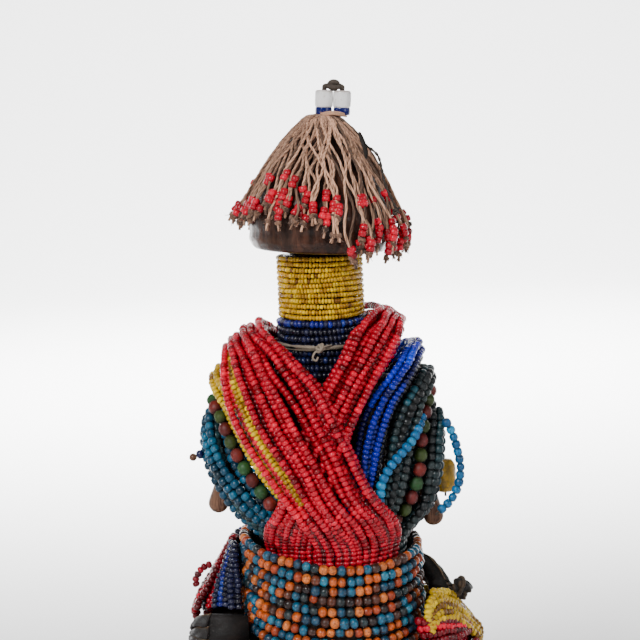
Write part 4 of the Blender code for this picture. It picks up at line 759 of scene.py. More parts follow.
def all_finishes():
    """Every finish of the doll, by a maker's name."""
    glass = shader_group("bead_glass", bead_glass, **{
        "Colour": (0.5, 0.5, 0.5), "End": 0.0, "Chance": 0.0, "Mottle": 0.3, "Speck": 0.0, "Grime": 0.5,
        "Grime Colour": (0.03, 0.015, 0.01), "Polish": 0.2, "Wear": 0.2,
    })
    wood = shader_group("carved_wood", carved_wood, Dark=(0.016, 0.007, 0.005), Light=(0.075, 0.030, 0.018),
                        Worn=(0.21, 0.105, 0.062), End=0.0, Grain=1.0, Polish=0.25)
    fibre = shader_group("plied_fibre", plied_fibre, Colour=(0.4, 0.25, 0.16), Shade=(0.08, 0.04, 0.025),
                         End=0.0, Chance=0.0)
    leather = shader_group("old_leather", old_leather, Colour=(0.005, 0.0032, 0.0026),
                           Rubbed=(0.20, 0.12, 0.06), End=0.0)
    ends = {"End": "bead_end"}
    marks = dict(ends, Chance="bead_chance")

    def beads(name, mottle, speck, soiling_and_shade, soiling_and_shade_colour, polish, wear, **rest):
        """Bead glass by its cloudiness, specks, soiling and painted shade with their colour, polish and wear.
        """
        return finish(name, glass, dict(marks, **{
            "Colour": "bead_colour", "Mottle": mottle, "Speck": speck, "Grime": soiling_and_shade,
            "Grime Colour": soiling_and_shade_colour, "Polish": polish, "Wear": wear,
        }), **rest)

    def cord(name, colour, shade, **rest):
        """Plied fibre of one colour, with painted shade of a darker colour in its grooves."""
        return finish(name, fibre, dict(marks, Colour=colour, Shade=shade), **rest)

    brown = dict(ends, Dark=(0.10, 0.04, 0.022), Light=(0.22, 0.11, 0.06))
    rough = dict(bump=0.6, depth=0.0002)
    return {
        # Each bead glass's soiling and painted shade colour is mostly a darker tone of the bead's own hue.
        "red": beads("red_bead_glass", 0.22, 0.04, 0.4, (0.03, 0.0004, 0.001), 0.17, 0.12, coat=0.15),
        "yellow": beads("yellow_bead_glass", 0.25, 0.12, 0.8, (0.10, 0.035, 0.004), 0.24, 0.2, coat=0.12),
        "neck": beads("neck_bead_glass", 0.12, 0.10, 0.6, (0.08, 0.028, 0.002), 0.22, 0.2, coat=0.1),
        "blue": beads("blue_bead_glass", 0.25, 0.1, 0.4, (0.004, 0.005, 0.03), 0.15, 0.2, coat=0.2),
        "navy": beads("navy_bead_glass", 0.25, 0.1, 0.4, (0.012, 0.008, 0.008), 0.15, 0.25, coat=0.3),
        "turquoise": beads(
            "turquoise_bead_glass", 0.45, 0.7, 0.7, (0.012, 0.022, 0.024), 0.26, 0.3, coat=0.12),
        "teal": beads("teal_bead_glass", 0.5, 0.7, 0.7, (0.012, 0.014, 0.013), 0.3, 0.3, coat=0.08),
        "belt": beads(
            "belt_bead_glass", 0.85, 0.9, 0.85, (0.035, 0.014, 0.010), 0.22, 0.25, coat=0.15, bump=0.5),
        "mixed": beads("large_bead_glass", 0.45, 0.5, 0.7, (0.03, 0.014, 0.01), 0.42, 0.25, bump=0.7),
        "white": beads("white_bead_glass", 0.06, 0.14, 1.0, (0.22, 0.10, 0.05), 0.14, 0.15, coat=0.4),
        "amber": beads("amber_bead", 0.6, 0.45, 0.6, (0.13, 0.06, 0.012), 0.36, 0.2, coat=0.1, bump=0.9),
        "wood": finish("carved_dark_wood", wood, ends, 0.1, 0.12, bump=0.5, depth=0.0003, shine=0.2),
        "cord": cord("plied_cord", (0.80, 0.44, 0.28), (0.03, 0.010, 0.005), sheen=0.1, **rough),
        "knot": cord("frayed_cord", (0.30, 0.16, 0.10), (0.03, 0.012, 0.007), sheen=0.15, **rough),
        "sinew": cord("dry_sinew", (0.36, 0.29, 0.22), (0.07, 0.05, 0.032), bump=0.5),
        "thread": cord("bead_thread", (0.10, 0.075, 0.055), (0.03, 0.02, 0.015)),
        "thong": cord("dark_thong", (0.13, 0.10, 0.08), (0.02, 0.014, 0.01), **rough),
        "leather": finish("blackened_leather", leather, ends, bump=0.8, depth=0.0004),
        "brown": finish("brown_bead_wood", wood, brown),
    }


# Carved wood

def facets(around, upward, size, depth):
    """Gouge marks: rows of shallow round scoops laid like bricks, deepest in each one's middle."""
    row = np.floor(upward / size)
    across = around / (size * 1.3) + 0.5 * (row % 2) + 0.13 * np.sin(row * 2.7)
    off_across = across - np.floor(across) - 0.5
    off_up = upward / size - row - 0.5
    return -depth * (1 - 2.2 * (off_across ** 2 + off_up ** 2))


def solid_grid(points, **marks):
    """A grid of points, its columns closed round and its first and last rows closed flat."""
    rows, columns = points.shape[:2]
    return shape(points, [grid_faces(rows, columns), cap_faces(rows, columns)], **marks)


def ring_wall(rows, end, **closing):
    """A grid of points whose last row meets its first, made of thread."""
    count, columns = rows.shape[:2]
    return shape(rows, [grid_faces(count, columns, closed_rows=True, **closing)], end=end, skin=1)


def fringe_radii(heights):
    """Reach of the cap's cords: the fallen share of the fringe's height to the power 0.64."""
    fall = np.clip((HEAD_TOP + FRINGE_LIFT - heights) / FRINGE_FALL, 0.0, 1.0)
    return FRINGE_TOP_RADIUS + (FRINGE_RADIUS - FRINGE_TOP_RADIUS) * fall ** 0.64


def fringe_hems(angles):
    """Height of the fringe's hem: raised by powers of cosines on the side seen and over the face."""
    turns = np.radians(angles)
    seen = np.maximum(0.0, np.cos(turns + math.radians(95))) ** 3
    right = np.maximum(0.0, np.cos(turns + math.radians(48))) ** 2
    face = np.maximum(0.0, np.cos(turns - math.radians(90))) ** 2
    ragged = 1.8 * np.sin(turns * 7 - math.radians(60))
    return HEAD_RIM + 3.0 + 8.0 * seen + 16.0 * face - 12.0 * right + ragged


def carved_head():
    """Head: its profile turned about the neck, with gouge marks, a straight nose, slit eyes and a mouth."""
    profile = [(0.4, HEAD_TOP - DOME_GAP / 2 - 0.3)]
    for share in (0.0, 0.08, 0.2, 0.38, 0.58, 0.78, 0.94):
        height = HEAD_TOP - HEAD_DOME_HEIGHT * share
        room = float(fringe_radii(np.array(height))) - FRINGE_THICKNESS - DOME_GAP
        profile.append((min(room, HEAD_RADIUS), height - DOME_GAP))
    for width, drop in ((1.0, 0.1), (0.985, 0.42), (0.9, 0.76)):
        profile.append((HEAD_RADIUS * width, HEAD_RIM - HEAD_BOWL_HEIGHT * drop))
    profile += [
        (NECK_INNER + NECK_BEAD, NECK_TOP + HEAD_SEAT),
        (NECK_WOOD_RADIUS - 1.5, NECK_TOP + HEAD_SEAT - 0.4),
        (NECK_WOOD_RADIUS - 4.0, NECK_TOP - 2 * HEAD_SEAT),
    ]
    radius, height = through(profile, 120).T[..., None]
    turns = full_turn(216)
    cut = facets(turns * HEAD_RADIUS, height + 0.6 * np.sin(turns * 5), 5.2, 0.32)
    radius = radius + cut * soft_step(radius, 8.0, 20.0)
    behind = 99.0
    across = np.where(np.sin(turns) > 0, radius * np.cos(turns), behind)
    off_eye = np.abs(across) - EYE_SPACING / 2
    level = height - (HEAD_RIM + FACE_RISE)
    bridge = soft_step(level, -6.6, -5.0) * (1 - soft_step(level, 1.0, 7.5))
    nose = np.exp(-(across / 2.3) ** 2) * bridge
    brow = 0.8 * np.exp(-((np.abs(across) - 8.5) / 6.0) ** 4 - ((level - 6.4) / 1.5) ** 2)
    lids = (off_eye / 3.6) ** 2 + ((level - 3.5) / 1.7) ** 2
    slit = (off_eye / 2.9) ** 2 + ((level - 3.5) / 0.42) ** 2
    eyes = 0.9 * np.exp(-((lids - 0.5) / 0.45) ** 2) - 0.9 * np.exp(-lids * 3.0) - 0.7 * np.exp(-slit)
    lips = (across / (MOUTH_WIDTH * 0.55)) ** 4 + ((level + 9.3) / 1.9) ** 2
    gap = (across / (MOUTH_WIDTH * 0.5)) ** 4 + ((level + 9.5) / 0.62) ** 2
    radius = radius + 3.3 * nose + brow + eyes + 0.55 * np.exp(-lips) - 1.6 * np.exp(-gap)
    points = tilted(ringed(turns, radius, radius, height))
    rubbed = 0.30 * np.exp(-((height - HEAD_RIM + 1.0) / 4.0) ** 2) + 0.5 * nose
    return solid_grid(points[::-1], end=rubbed[::-1].ravel())


def carved_trunk():
    """Trunk and neck: ellipses from the leg tops to the top of the neck, with gouge marks."""
    tuck = BELT_TOP + DRAPE_HEIGHT * TUCK_SHARE
    table = np.array((
        (LEG_TOP - 4.0, HIP_HALF_WIDTH * 0.80, HIP_HALF_DEPTH * 0.72),
        (LEG_TOP - 3.0, HIP_HALF_WIDTH * 0.86, HIP_HALF_DEPTH * 0.80),
        (LEG_TOP + 6.0, HIP_HALF_WIDTH, HIP_HALF_DEPTH * 0.95),
        (BELT_BOTTOM, HIP_HALF_WIDTH, HIP_HALF_DEPTH), (tuck - 4.5, HIP_HALF_WIDTH, HIP_HALF_DEPTH),
        (tuck - 1.0, WAIST_HALF_WIDTH, WAIST_HALF_DEPTH), (BELT_TOP, WAIST_HALF_WIDTH, WAIST_HALF_DEPTH),
        (BELT_TOP + DRAPE_HEIGHT * 0.3, CHEST_HALF_WIDTH * 0.9, CHEST_HALF_DEPTH),
        (BELT_TOP + DRAPE_HEIGHT * 0.6, CHEST_HALF_WIDTH + 3.0, CHEST_HALF_DEPTH),
        (SHOULDER_HEIGHT - 2.0, CHEST_HALF_WIDTH, CHEST_HALF_DEPTH - 1.0),
        (SHOULDER_HEIGHT, NECK_WOOD_RADIUS + 4.0, NECK_WOOD_RADIUS),
        (SHOULDER_HEIGHT + 0.4, NECK_WOOD_RADIUS, NECK_WOOD_RADIUS),
        (NECK_TOP, NECK_WOOD_RADIUS, NECK_WOOD_RADIUS),
    ))
    heights = np.linspace(table[0, 0], NECK_TOP, 130)[:, None]
    width, depth = (np.interp(heights, table[:, 0], table[:, column]) for column in (1, 2))
    turns = full_turn(96)
    cut = facets(turns * 30.0, heights, 7.0, 0.35)
    return solid_grid(ringed(turns, width + cut, depth + cut, heights))


def carved_limb(places, rings, columns, worn_from, seed):
    """Limb: circles along a smooth line, drawn in at both ends like a half ball, with gouge marks."""
    run = through([(*centre, radius) for centre, radius in places], rings)
    first, last = run[0], run[-1]
    back, ahead = unit(first[:3] - run[1, :3]), unit(last[:3] - run[-2, :3])
    swell = np.linspace(0, math.pi / 2, 9)[1:, None]
    line = np.vstack([
        first[:3] + back * first[3] * np.sin(swell)[::-1] * 0.9, run[:, :3],
        last[:3] + ahead * last[3] * np.sin(swell),
    ])
    drawn_in = np.maximum(np.cos(swell), 0.03)
    radii = np.vstack([first[3] * drawn_in[::-1], run[:, 3:], last[3] * drawn_in])
    length = np.concatenate([[0], np.cumsum(np.linalg.norm(np.diff(line, axis=0), axis=1))])[:, None]
    cut = facets(full_turn(columns) * 6.0 + seed, length, 4.0, 0.22)
    worn = np.clip((np.linspace(0, 1, len(line)) - worn_from) / (1 - worn_from), 0, 1)
    return tubes(line, (radii + cut * (radii / radii.max()))[None], (0, 1, 0), columns,
                 end=np.repeat(worn, columns))


def carved_foot(side):
    """Foot: a ball squared off by powers of its cosines and sines, lower at the toes."""
    lift = np.linspace(-math.pi / 2, math.pi / 2, 34)[:, None]
    turns = full_turn(64)
    ring = np.abs(np.cos(lift)) ** 0.35
    forward = signed_power(np.sin(turns), 0.62)
    toe = 1 - 0.30 * soft_step(forward, 0.2, 1.0)
    return solid_grid(stacked(
        side * LEG_SPREAD + FOOT_WIDTH / 2 * ring * signed_power(np.cos(turns), 0.5),
        FOOT_LENGTH / 2 - ANKLE_RADIUS + FOOT_LENGTH / 2 * ring * forward,
        BASE_HEIGHT - 0.6 + FOOT_HEIGHT / 2 * (1 + signed_power(np.sin(lift), 0.5)) * toe * 0.96,
    ), end=0.2)


def carved_base():
    """Base: ellipses drawn in below, up its gouged wall and in again over its top, worn round the rim."""
    inset = np.concatenate([
        np.linspace(0.98, 0.08, 10), [0.05, 0.035], np.zeros(24), [0.035, 0.06], np.linspace(0.1, 0.98, 12),
    ])[:, None]
    climb = np.concatenate([
        np.zeros(10), [0.0, 0.35], np.linspace(1.2, BASE_HEIGHT - 1.2, 24),
        [BASE_HEIGHT - 0.35, BASE_HEIGHT], np.full(12, BASE_HEIGHT),
    ])[:, None]
    turns = full_turn(160)
    cut = facets(turns * 38.0, climb, 4.6, 0.3) * (inset < 0.03)
    top = facets(turns * 24.0, inset * 38.0, 5.0, 0.12) * (climb >= BASE_HEIGHT)
    points = ringed(turns, BASE_HALF_WIDTH * (1 - inset) + cut, BASE_HALF_DEPTH * (1 - inset) + cut,
                    climb + np.minimum(top, 0.0))
    return solid_grid(points, end=np.repeat(0.35 * ((inset > 0.02) & (inset < 0.09)), len(turns)))


def make_wood(looks):
    """Carve the figure's visible skin: head, trunk, arms, legs, feet and the low base."""
    def carve(name, made):
        """Make one carved piece of the figure."""
        piece("carved_" + name, made, looks["wood"], "wood", "wood_figure")

    carve("head", carved_head())
    carve("trunk", carved_trunk())
    shoulder_z = SHOULDER_HEIGHT - SHOULDER_RADIUS
    for side, word, reach, drop in (
            (-1, "left", LEFT_HAND_REACH, LEFT_HAND_DROP), (1, "right", RIGHT_HAND_REACH, RIGHT_HAND_DROP)):
        hand_z = DRAPE_TOP - drop + HAND_RADIUS
        middle_z = (shoulder_z + hand_z) / 2
        middle_x = SHOULDER_REACH + (reach - SHOULDER_REACH) * 0.45
        carve("arm_" + word, carved_limb((
            ((side * SHOULDER_REACH, 0, shoulder_z), SHOULDER_RADIUS),
            ((side * (SHOULDER_REACH + middle_x) / 2, 0, (shoulder_z + middle_z) / 2), UPPER_ARM_RADIUS),
            ((side * middle_x, 0, middle_z), ELBOW_RADIUS), ((side * reach, 0, hand_z), HAND_RADIUS),
        ), 60, 32, 0.45, side))
        leg = carved_limb((
            ((side * LEG_SPREAD, 0, LEG_TOP + 4.0), THIGH_RADIUS),
            ((side * LEG_SPREAD, 0, LEG_TOP - LEG_LENGTH * 0.5), KNEE_RADIUS),
            ((side * LEG_SPREAD, 0, BASE_HEIGHT + 1.0), ANKLE_RADIUS),
        ), 60, 48, 0.9, side)
        leg["end"] = np.zeros(len(leg["points"]))
        carve("leg_" + word, leg)
        carve("foot_" + word, carved_foot(side))
    carve("base", carved_base())


# Neck, collar and tie

ROW_FULLNESS, TIE_SAMPLES = 0.53, 220


def ring_line(radius, height, count, sway, turn):
    """A level circle of points that sways up and down twice round."""
    turns = full_turn(count)
    return ringed(turns, radius, radius, height + sway * np.sin(2 * turns + turn))


def make_neck(looks):
    """Wind the neck's fine yellow rows and the collar's navy rows, and bind the sinew round the collar."""
    chance = np.random.default_rng(11)
    pitch = (NECK_TOP - NECK_BOTTOM) / NECK_ROWS
    rows = [
        ring_line(NECK_INNER + NECK_BEAD * 0.42, NECK_TOP - (row + 0.5) * pitch, 200, 0.22, row * 0.7)
        for row in range(NECK_ROWS)
    ]
    beads = strung(rows, pitch * ROW_FULLNESS, 1.3, [NECK_YELLOWS], chance, closed=True, vary=0.09, run=1.3,
                   tilt=0.12, sides=6, profile=NECK_PROFILE)
    piece("neck_rows_yellow", beads, looks["neck"], "yellow_beads", "yellow_neck_beads")

    pitch = (NECK_BOTTOM - CLEARANCE - COLLAR_BOTTOM) / COLLAR_ROWS
    rows = []
    for row in range(COLLAR_ROWS):
        spread = COLLAR_FLARE * ((row + 0.5) / COLLAR_ROWS) ** 2
        height = NECK_BOTTOM - CLEARANCE - (row + 0.5) * pitch
        rows.append(ring_line(NECK_INNER + COLLAR_BEAD * 0.5 + spread, height, 200, 0.2, row * 1.3))
    palettes = [COBALTS] + [NAVIES] * (COLLAR_ROWS - 1)
    beads = strung(rows, pitch * ROW_FULLNESS, 1.75, palettes, chance, closed=True, vary=0.05)
    piece("collar_rows_navy", beads, looks["navy"], "navy_beads", "dark_collar_beads")

    height = NECK_BOTTOM - (NECK_BOTTOM - COLLAR_BOTTOM) * TIE_SHARE
    reach = NECK_INNER + COLLAR_BEAD + COLLAR_FLARE * (TIE_SHARE + 0.1) ** 2 + 0.55
    turns = full_turn(220)
    flat = (0.62 + 0.16 * np.sin(turns * 9) + 0.08 * np.sin(turns * 23))[None]
    upper = ring_line(reach, height, TIE_SAMPLES, 0.45, 0.9)
    lower = ring_line(reach + 0.35, height - 0.7, TIE_SAMPLES, 0.5, 2.4)
    shapes = [
        tubes(upper, flat, (0, 0, 1), 7, closed=True, end=0.2, chance=0.6),
        tubes(lower, 0.7 * flat, (0, 0, 1), 6, closed=True, end=0.4, chance=0.3),
    ]
    middle = np.array([-1.2, -reach - 0.5, height - 0.5])
    steps = np.linspace(0, 1, 40)
    circle = 2 * math.pi * steps * 1.1
    for lean, size, thick in ((0.5, 1.5, 0.62), (-0.6, 1.35, 0.6), (1.4, 1.1, 0.55)):
        loop = ringed(circle, size, size * 0.55, size * 0.6 * np.sin(circle + 0.8))
        loop[:, 1] += 0.4 * steps - 0.25
        cosine, sine = math.cos(lean), math.sin(lean)
        turn = np.array([[cosine, 0, -sine], [0, 1, 0], [sine, 0, cosine]])
        shapes.append(tubes(middle + loop @ turn.T, thick, (0.2, 1, 0.1), 7, end=0.25, chance=0.8))
    tail = through(middle + np.array(TIE_TAIL_PLACES), 36)
    stub = through(middle + np.array(TIE_STUB_PLACES), 16)
    shapes.append(tubes(tail, 0.42, (0, 1, 0.2), 6, end=0.2, chance=0.9))
    shapes.append(tubes(stub, np.linspace(0.5, 0.25, 16)[None], (0, 1, 0.2), 6, end=0.2, chance=0.5))
    piece("sinew_tie", shapes, looks["sinew"], "sinew", "collar_tie")


# The trunk's bundles

ARCH_SAMPLES = 300


def bundle_lines(edges, steps, lifts, layers, climb, chance, wander=0.026, parting=None):
    """Lines of a bundle: each blends two edge routes by its step, wanders a little, and lies at its layer.

    A parting of place and width draws the strands before that place together above the waist by the width.
    """
    near, far = (through(whole_arch(edge), ARCH_SAMPLES) for edge in edges)
    run = np.linspace(0, 1, ARCH_SAMPLES)
    lines = []
    for step, lift in zip(steps, lifts):
        own = step + wave(chance, run, wander)
        if parting and step < parting[0]:
            own = own - parting[1] * step / parting[0] * soft_step(near[:, 1], 0.22, 0.5)
        angles, shares = mix(near, far, own[:, None]).T
        own_layers = mix(*(arch_layers(shares, edge_layers, climb) for edge_layers in layers), own)
        loose = soft_step(shares, 0.05, 0.3)
        own_layers = own_layers + lift * loose + wave(chance, run, 0.045) * loose
        lines.append(drape_points(angles, shares, own_layers))
    return lines


def bundle(looks, look, name, node, edges, count, radius, pitch, palettes, layers, climb, seed,
           stagger=0.12, under=(), beside=(), parting=None, wander=0.026, **rest):
    """One bundle of strands, its strands by turns a little higher and lower.

    Under it lie fewer strands, deeper by a part of a layer and of another palette. Beside it lie strands
    at steps between two other edges, on the side seen and above the lowest share of the drape's height.
    """
    chance = np.random.default_rng(seed)
    number = np.arange(count)
    steps = np.clip(number / (count - 1) + chance.normal(0, 0.12 / count, count), 0.0, 1.0)
    lifts = np.where(number % 2, stagger, -stagger) + chance.normal(0, 0.05, count)
    lines = bundle_lines(edges, steps, lifts, layers, climb, chance, wander, parting)
    if beside:
        other_edges, other_steps, other_layers, lowest = beside
        level = [0.0] * len(other_steps)
        others = bundle_lines(other_edges, other_steps, level, other_layers, climb, chance, 0.008)
        bottom = BELT_TOP + lowest * DRAPE_HEIGHT
        lines += [line[(line[:, 2] > bottom) & (line[:, 1] < 2.0)] for line in others]
    shapes = [strung(lines, radius, pitch, palettes, chance, **rest)]
    if under:
        fewer, depth, palette = under
        steps = (np.arange(fewer) + 0.5) / fewer
        lines = bundle_lines(edges, steps, [-depth] * fewer, layers, climb, chance)
        shapes.append(strung(lines, radius, pitch, [palette], chance, **dict(rest, sides=5)))
    piece(name, shapes, looks[look], look + "_beads", node)


def make_bundles(looks):
    """Drape every bundle over the shoulders, in the order in which they were put on."""
    rounds = dict(profile=ROUND_PROFILE, sides=9)
    bundle(looks, "turquoise", "turquoise_left_beads", "turquoise_strands_left",
           (TURQUOISE_NECK_EDGE, TURQUOISE_ARM_EDGE), 4, ROUND_RADIUS, ROUND_PITCH,
           [TURQUOISES, TURQUOISES, TEALS, TURQUOISES],
           ((-0.35, 0.0, 0.0), (0.6, 0.0, 0.0)), (0.6, 0.8), 21, under=(3, 0.45, TEALS), beside=(
               (YELLOW_ARM_EDGE, TURQUOISE_NECK_EDGE), (-0.18, 0.08, 0.4, 0.8),
               ((-0.3,) * 3, (-0.8,) * 3), -1.0,
           ), **rounds)
    bundle(looks, "yellow", "yellow_left_beads", "yellow_strands", (YELLOW_NECK_EDGE, YELLOW_ARM_EDGE),
           5, FINE_RADIUS, 2.0, [YELLOWS], ((-0.25, 0.0, 0.5),) * 2, (0.6, 0.8), 22, run=3.0,
           beside=((RED_OVER_NECK_EDGE, RED_OVER_ARM_EDGE), (0.80, 0.865), ((1.0, 0.86, 0.9),) * 2, 0.22))
    bundle(looks, "blue", "blue_right_beads", "blue_strands", (BLUE_NECK_EDGE, BLUE_ARM_EDGE),
           5, FINE_RADIUS, 1.95, [BLUES, BLUES, COBALTS, BLUES, NAVIES],
           ((-0.1, 0.0, 0.9), (-0.1, 0.0, 0.5)), (0.62, 0.84), 23, run=5.0)
    bundle(looks, "teal", "teal_inner_beads", "teal_strands_inner", (TEAL_NECK_EDGE, TEAL_INNER_EDGE),
           4, ROUND_RADIUS * 0.97, 3.2, [TEALS, SLATES], ((-0.1, 0.0, 0.2),) * 2, (0.6, 0.75), 24, run=4.0,
           under=(3, 0.45, SLATES), beside=(
               (TEAL_INNER_EDGE, TEAL_OUTER_EDGE), (0.1, 0.36, 0.62, 0.88), ((-0.75,) * 3,) * 2, -1.0,
           ), **rounds)
    bundle(looks, "teal", "teal_outer_beads", "teal_strands_outer", (TEAL_OUTER_EDGE, TEAL_ARM_EDGE),
           4, ROUND_RADIUS, ROUND_PITCH, [SLATES, TEALS], ((0.9, 0.0, 0.0),) * 2, (0.6, 0.8), 25, run=4.0,
           under=(3, 0.45, SLATES), **rounds)
    bundle(looks, "red", "red_under_beads", "red_strands_under", (RED_UNDER_NECK_EDGE, RED_UNDER_ARM_EDGE),
           9, SEED_RADIUS, SEED_PITCH, [REDS], ((0.95, 0.5, 1.2), (0.4, 0.5, 1.2)), (0.78, 0.93), 26,
           under=(5, 0.3, DEEP_REDS), stagger=0.2)
    bundle(looks, "red", "red_over_beads", "red_strands_over", (RED_OVER_NECK_EDGE, RED_OVER_ARM_EDGE),
           12, SEED_RADIUS, SEED_PITCH, [REDS], ((1.0, 1.0, 1.0),) * 2, (0.78, 0.93), 27,
           under=(10, 0.36, DEEP_REDS), parting=(0.87, 0.07), stagger=0.2, wander=0.03)


def arch_line(route, layers):
    """Route over the shoulder, and its line on the trunk surface at layers that its shares give."""
    arch = through(whole_arch(route), ARCH_SAMPLES)
    return arch, drape_points(arch[:, 0], arch[:, 1], layers(arch[:, 1]))


def large_strand(route, layer, chance, span):
    """A strand of large maroon and green beads by turns, within a span of the drape's height."""
    arch, line = arch_line(route, lambda shares: layer + 0 * shares)
    middle, ahead, along = spaced(line, BIG_PITCH)
    share = np.interp(along, np.linspace(0, 1, ARCH_SAMPLES), arch[:, 1])
    large = (share > span[0]) & (share < span[1])
    count = int(large.sum())
    maroon = (np.arange(count) % 2 == 0)[:, None]
    colours = np.where(maroon, picked(chance, count, MAROONS), picked(chance, count, OLIVES))
    radii = BIG_RADIUS * (1 + np.clip(chance.normal(0, 0.05, count), -0.1, 0.08))
    ahead = unit(ahead[large] + chance.normal(0, 0.06, (count, 3)))
    return [
        bead_solids(middle[large], ahead, radii, np.full(count, BIG_HALF_LENGTH), colours, chance,
                    LARGE_PROFILE, 14),
        tubes(line, THREAD_RADIUS, (0, 0.2, 1), 5, chance=0.4, skin=1),
    ]


def make_large_strands(looks):
    """Hang the strands of large beads at both sides, the right one with a second strand further in."""
    chance = np.random.default_rng(31)
    for side, strands in (
            ("left", ((BIG_LEFT_ROUTE, -0.1, (-0.03, 0.7)),)),
            ("right", ((BIG_RIGHT_ROUTE, -0.1, (-0.03, 0.7)), (BIG_SECOND_ROUTE, -0.35, (0.30, 0.5))))):
        shapes = []
        for route, layer, span in strands:
            shapes += large_strand(route, layer, chance, span)
        piece("large_beads_" + side, shapes, [looks["mixed"], looks["thread"]], "mixed_beads",
              "big_bead_strand_" + side)


def make_right_loops(looks):
    """String the loose turquoise loop at the right arm, and the bright run over the teal strands."""
    chance = np.random.default_rng(33)
    beads = dict(profile=ROUND_PROFILE, sides=12)
    line = through(raised(LOOP_PLACES, DRAPE_TOP), 120)
    loop = strung([line], LOOP_RADIUS * 1.14, 3.25, [SKIES], chance, vary=0.05, **beads)
    arch, sky = arch_line(SKY_ROUTE, lambda shares: (
        0.45 * soft_step(shares, 0.05, 0.25) * (1 - soft_step(shares, 0.45, 0.6)) - 0.05))
    near = arch[:, 0] < -26
    run = strung([sky[near & (arch[:, 1] > 0.2)]], ROUND_RADIUS, 3.1, [SKIES], chance, **beads)
    threads = [tubes(line, 0.4, (1, 0, 0.3), 5, chance=0.4, skin=1),
               tubes(sky[near], 0.4, (0, 0.2, 1), 5, chance=0.4, skin=1)]
    piece("turquoise_loops_right", [loop, run] + threads, [looks["turquoise"], looks["thread"]],
          "turquoise_beads", "turquoise_loop_right")
    make_amber_bead(looks)
    make_side_bead(looks, chance)


def make_amber_bead(looks):
    """Barrel bead: a circle swollen by a power of its height, pitted by sines and drawn in at its holes."""
    x, y, drop = AMBER_PLACE
    middle = DRAPE_TOP + drop
    lift = np.linspace(-1, 1, 40)[:, None]
    turns = full_turn(40)
    swell = AMBER_RADIUS * (1 - 0.42 * np.abs(lift) ** 4.5)
    pits = 0.14 * np.sin(turns * 3 + 2) + 0.10 * np.sin(turns * 7 + lift * 5)
    hole = np.where(np.abs(lift) > 0.995, 0.42, 1.0)
    radius = swell * hole + pits * hole
    barrel = ringed(turns, radius, radius, middle + lift * AMBER_LENGTH / 2) + np.array([x, y, 0])
    streak = 1 + 0.45 * np.sin(turns * 5 + 1.2 * np.sin(lift * 3)) * np.cos(turns * 2)
    cord = through((
        (x, y, middle - 8.6), (x, y, middle), (x - 1.5, y - 1.0, middle + 9.5),
        (x - 5.0, y - 3.0, middle + 16.0),
    ), 40)
    # End mark: nearness to the holes, which the glass finish darkens as painted shade.
    bead = solid_grid(barrel, colour=np.array(AMBER_COLOUR) * streak.reshape(-1, 1),
                      end=np.repeat(np.abs(lift) ** 6, 40))
    shapes = [bead, tubes(cord, 0.45, (0, 1, 0), 6, skin=1)]
    piece("amber_barrel", shapes, [looks["amber"], looks["thread"]], "amber", "amber_bead")


def make_side_bead(looks, chance):
    """Set the dark blue bead and its brown end bead at the left arm, leaning down to the left."""
    x, y, drop = PEG_PLACE
    lean = math.radians(70)
    ahead = np.array([[math.sin(lean), 0, math.cos(lean)]])
    middle = np.array([[x + 1.0, y, DRAPE_TOP + drop]])
    tip = middle + np.array([[-PEG_LENGTH * 0.85, 0, -PEG_LENGTH * 0.30]])
    for name, place, radius, half, colour, profile, look, slot, node in (
            ("side_bead_glass", middle, PEG_RADIUS, PEG_LENGTH * 0.42, PEG_COLOUR, ROUND_PROFILE,
             "blue", "blue_beads", "side_bead_blue"),
            ("side_bead_end", tip, 1.55, 1.55, PEG_END_COLOUR, BALL_PROFILE,
             "brown", "brown_bead", "side_bead_brown")):
        bead = bead_solids(place, ahead, np.array([radius]), np.array([half]), np.array([colour]), chance,
                           profile, 16)
        piece(name, bead, looks[look], slot, node)


# Belt and hips

BELT_FADES, BELT_SHIFTS = (0.1, 0.12, 0.25, 0.6, 0.6, 0.3, 0.15, 0.1, 0.1), (0, 2, 3, 1, 0, 2, 1, 3, 0)
LARGE_BELT_ROW = 5
HIP_SAMPLES = 120
STRAP_KNOT_BALLS = (
    ((0.0, 0.0, 1.6), (4.3, 3.4, 2.1), 5), ((-0.2, 0.2, -0.4), (4.1, 3.3, 2.0), 4),
    ((0.2, -0.2, -2.3), (3.7, 3.1, 1.7), 5),
)


def belt_colours(row, chance):
    """Colour rule of a belt row: pairs of orange and blue beads by turns, the middle rows faded dark."""
    def colours(along):
        """Colours of the row's beads: pairs, shifted from row to row, with a few swapped and some dark."""
        count = len(along)
        blue = ((np.arange(count) + BELT_SHIFTS[row]) // 2) % 2 == 1
        blue = blue ^ (chance.random(count) < 0.08)
        tone = np.where(blue[:, None], picked(chance, count, BELT_BLUES), picked(chance, count, ORANGES))
        dark = chance.random(count) < BELT_FADES[row]
        return np.where(dark[:, None], picked(chance, count, BELT_DARKS), tone)

    return colours


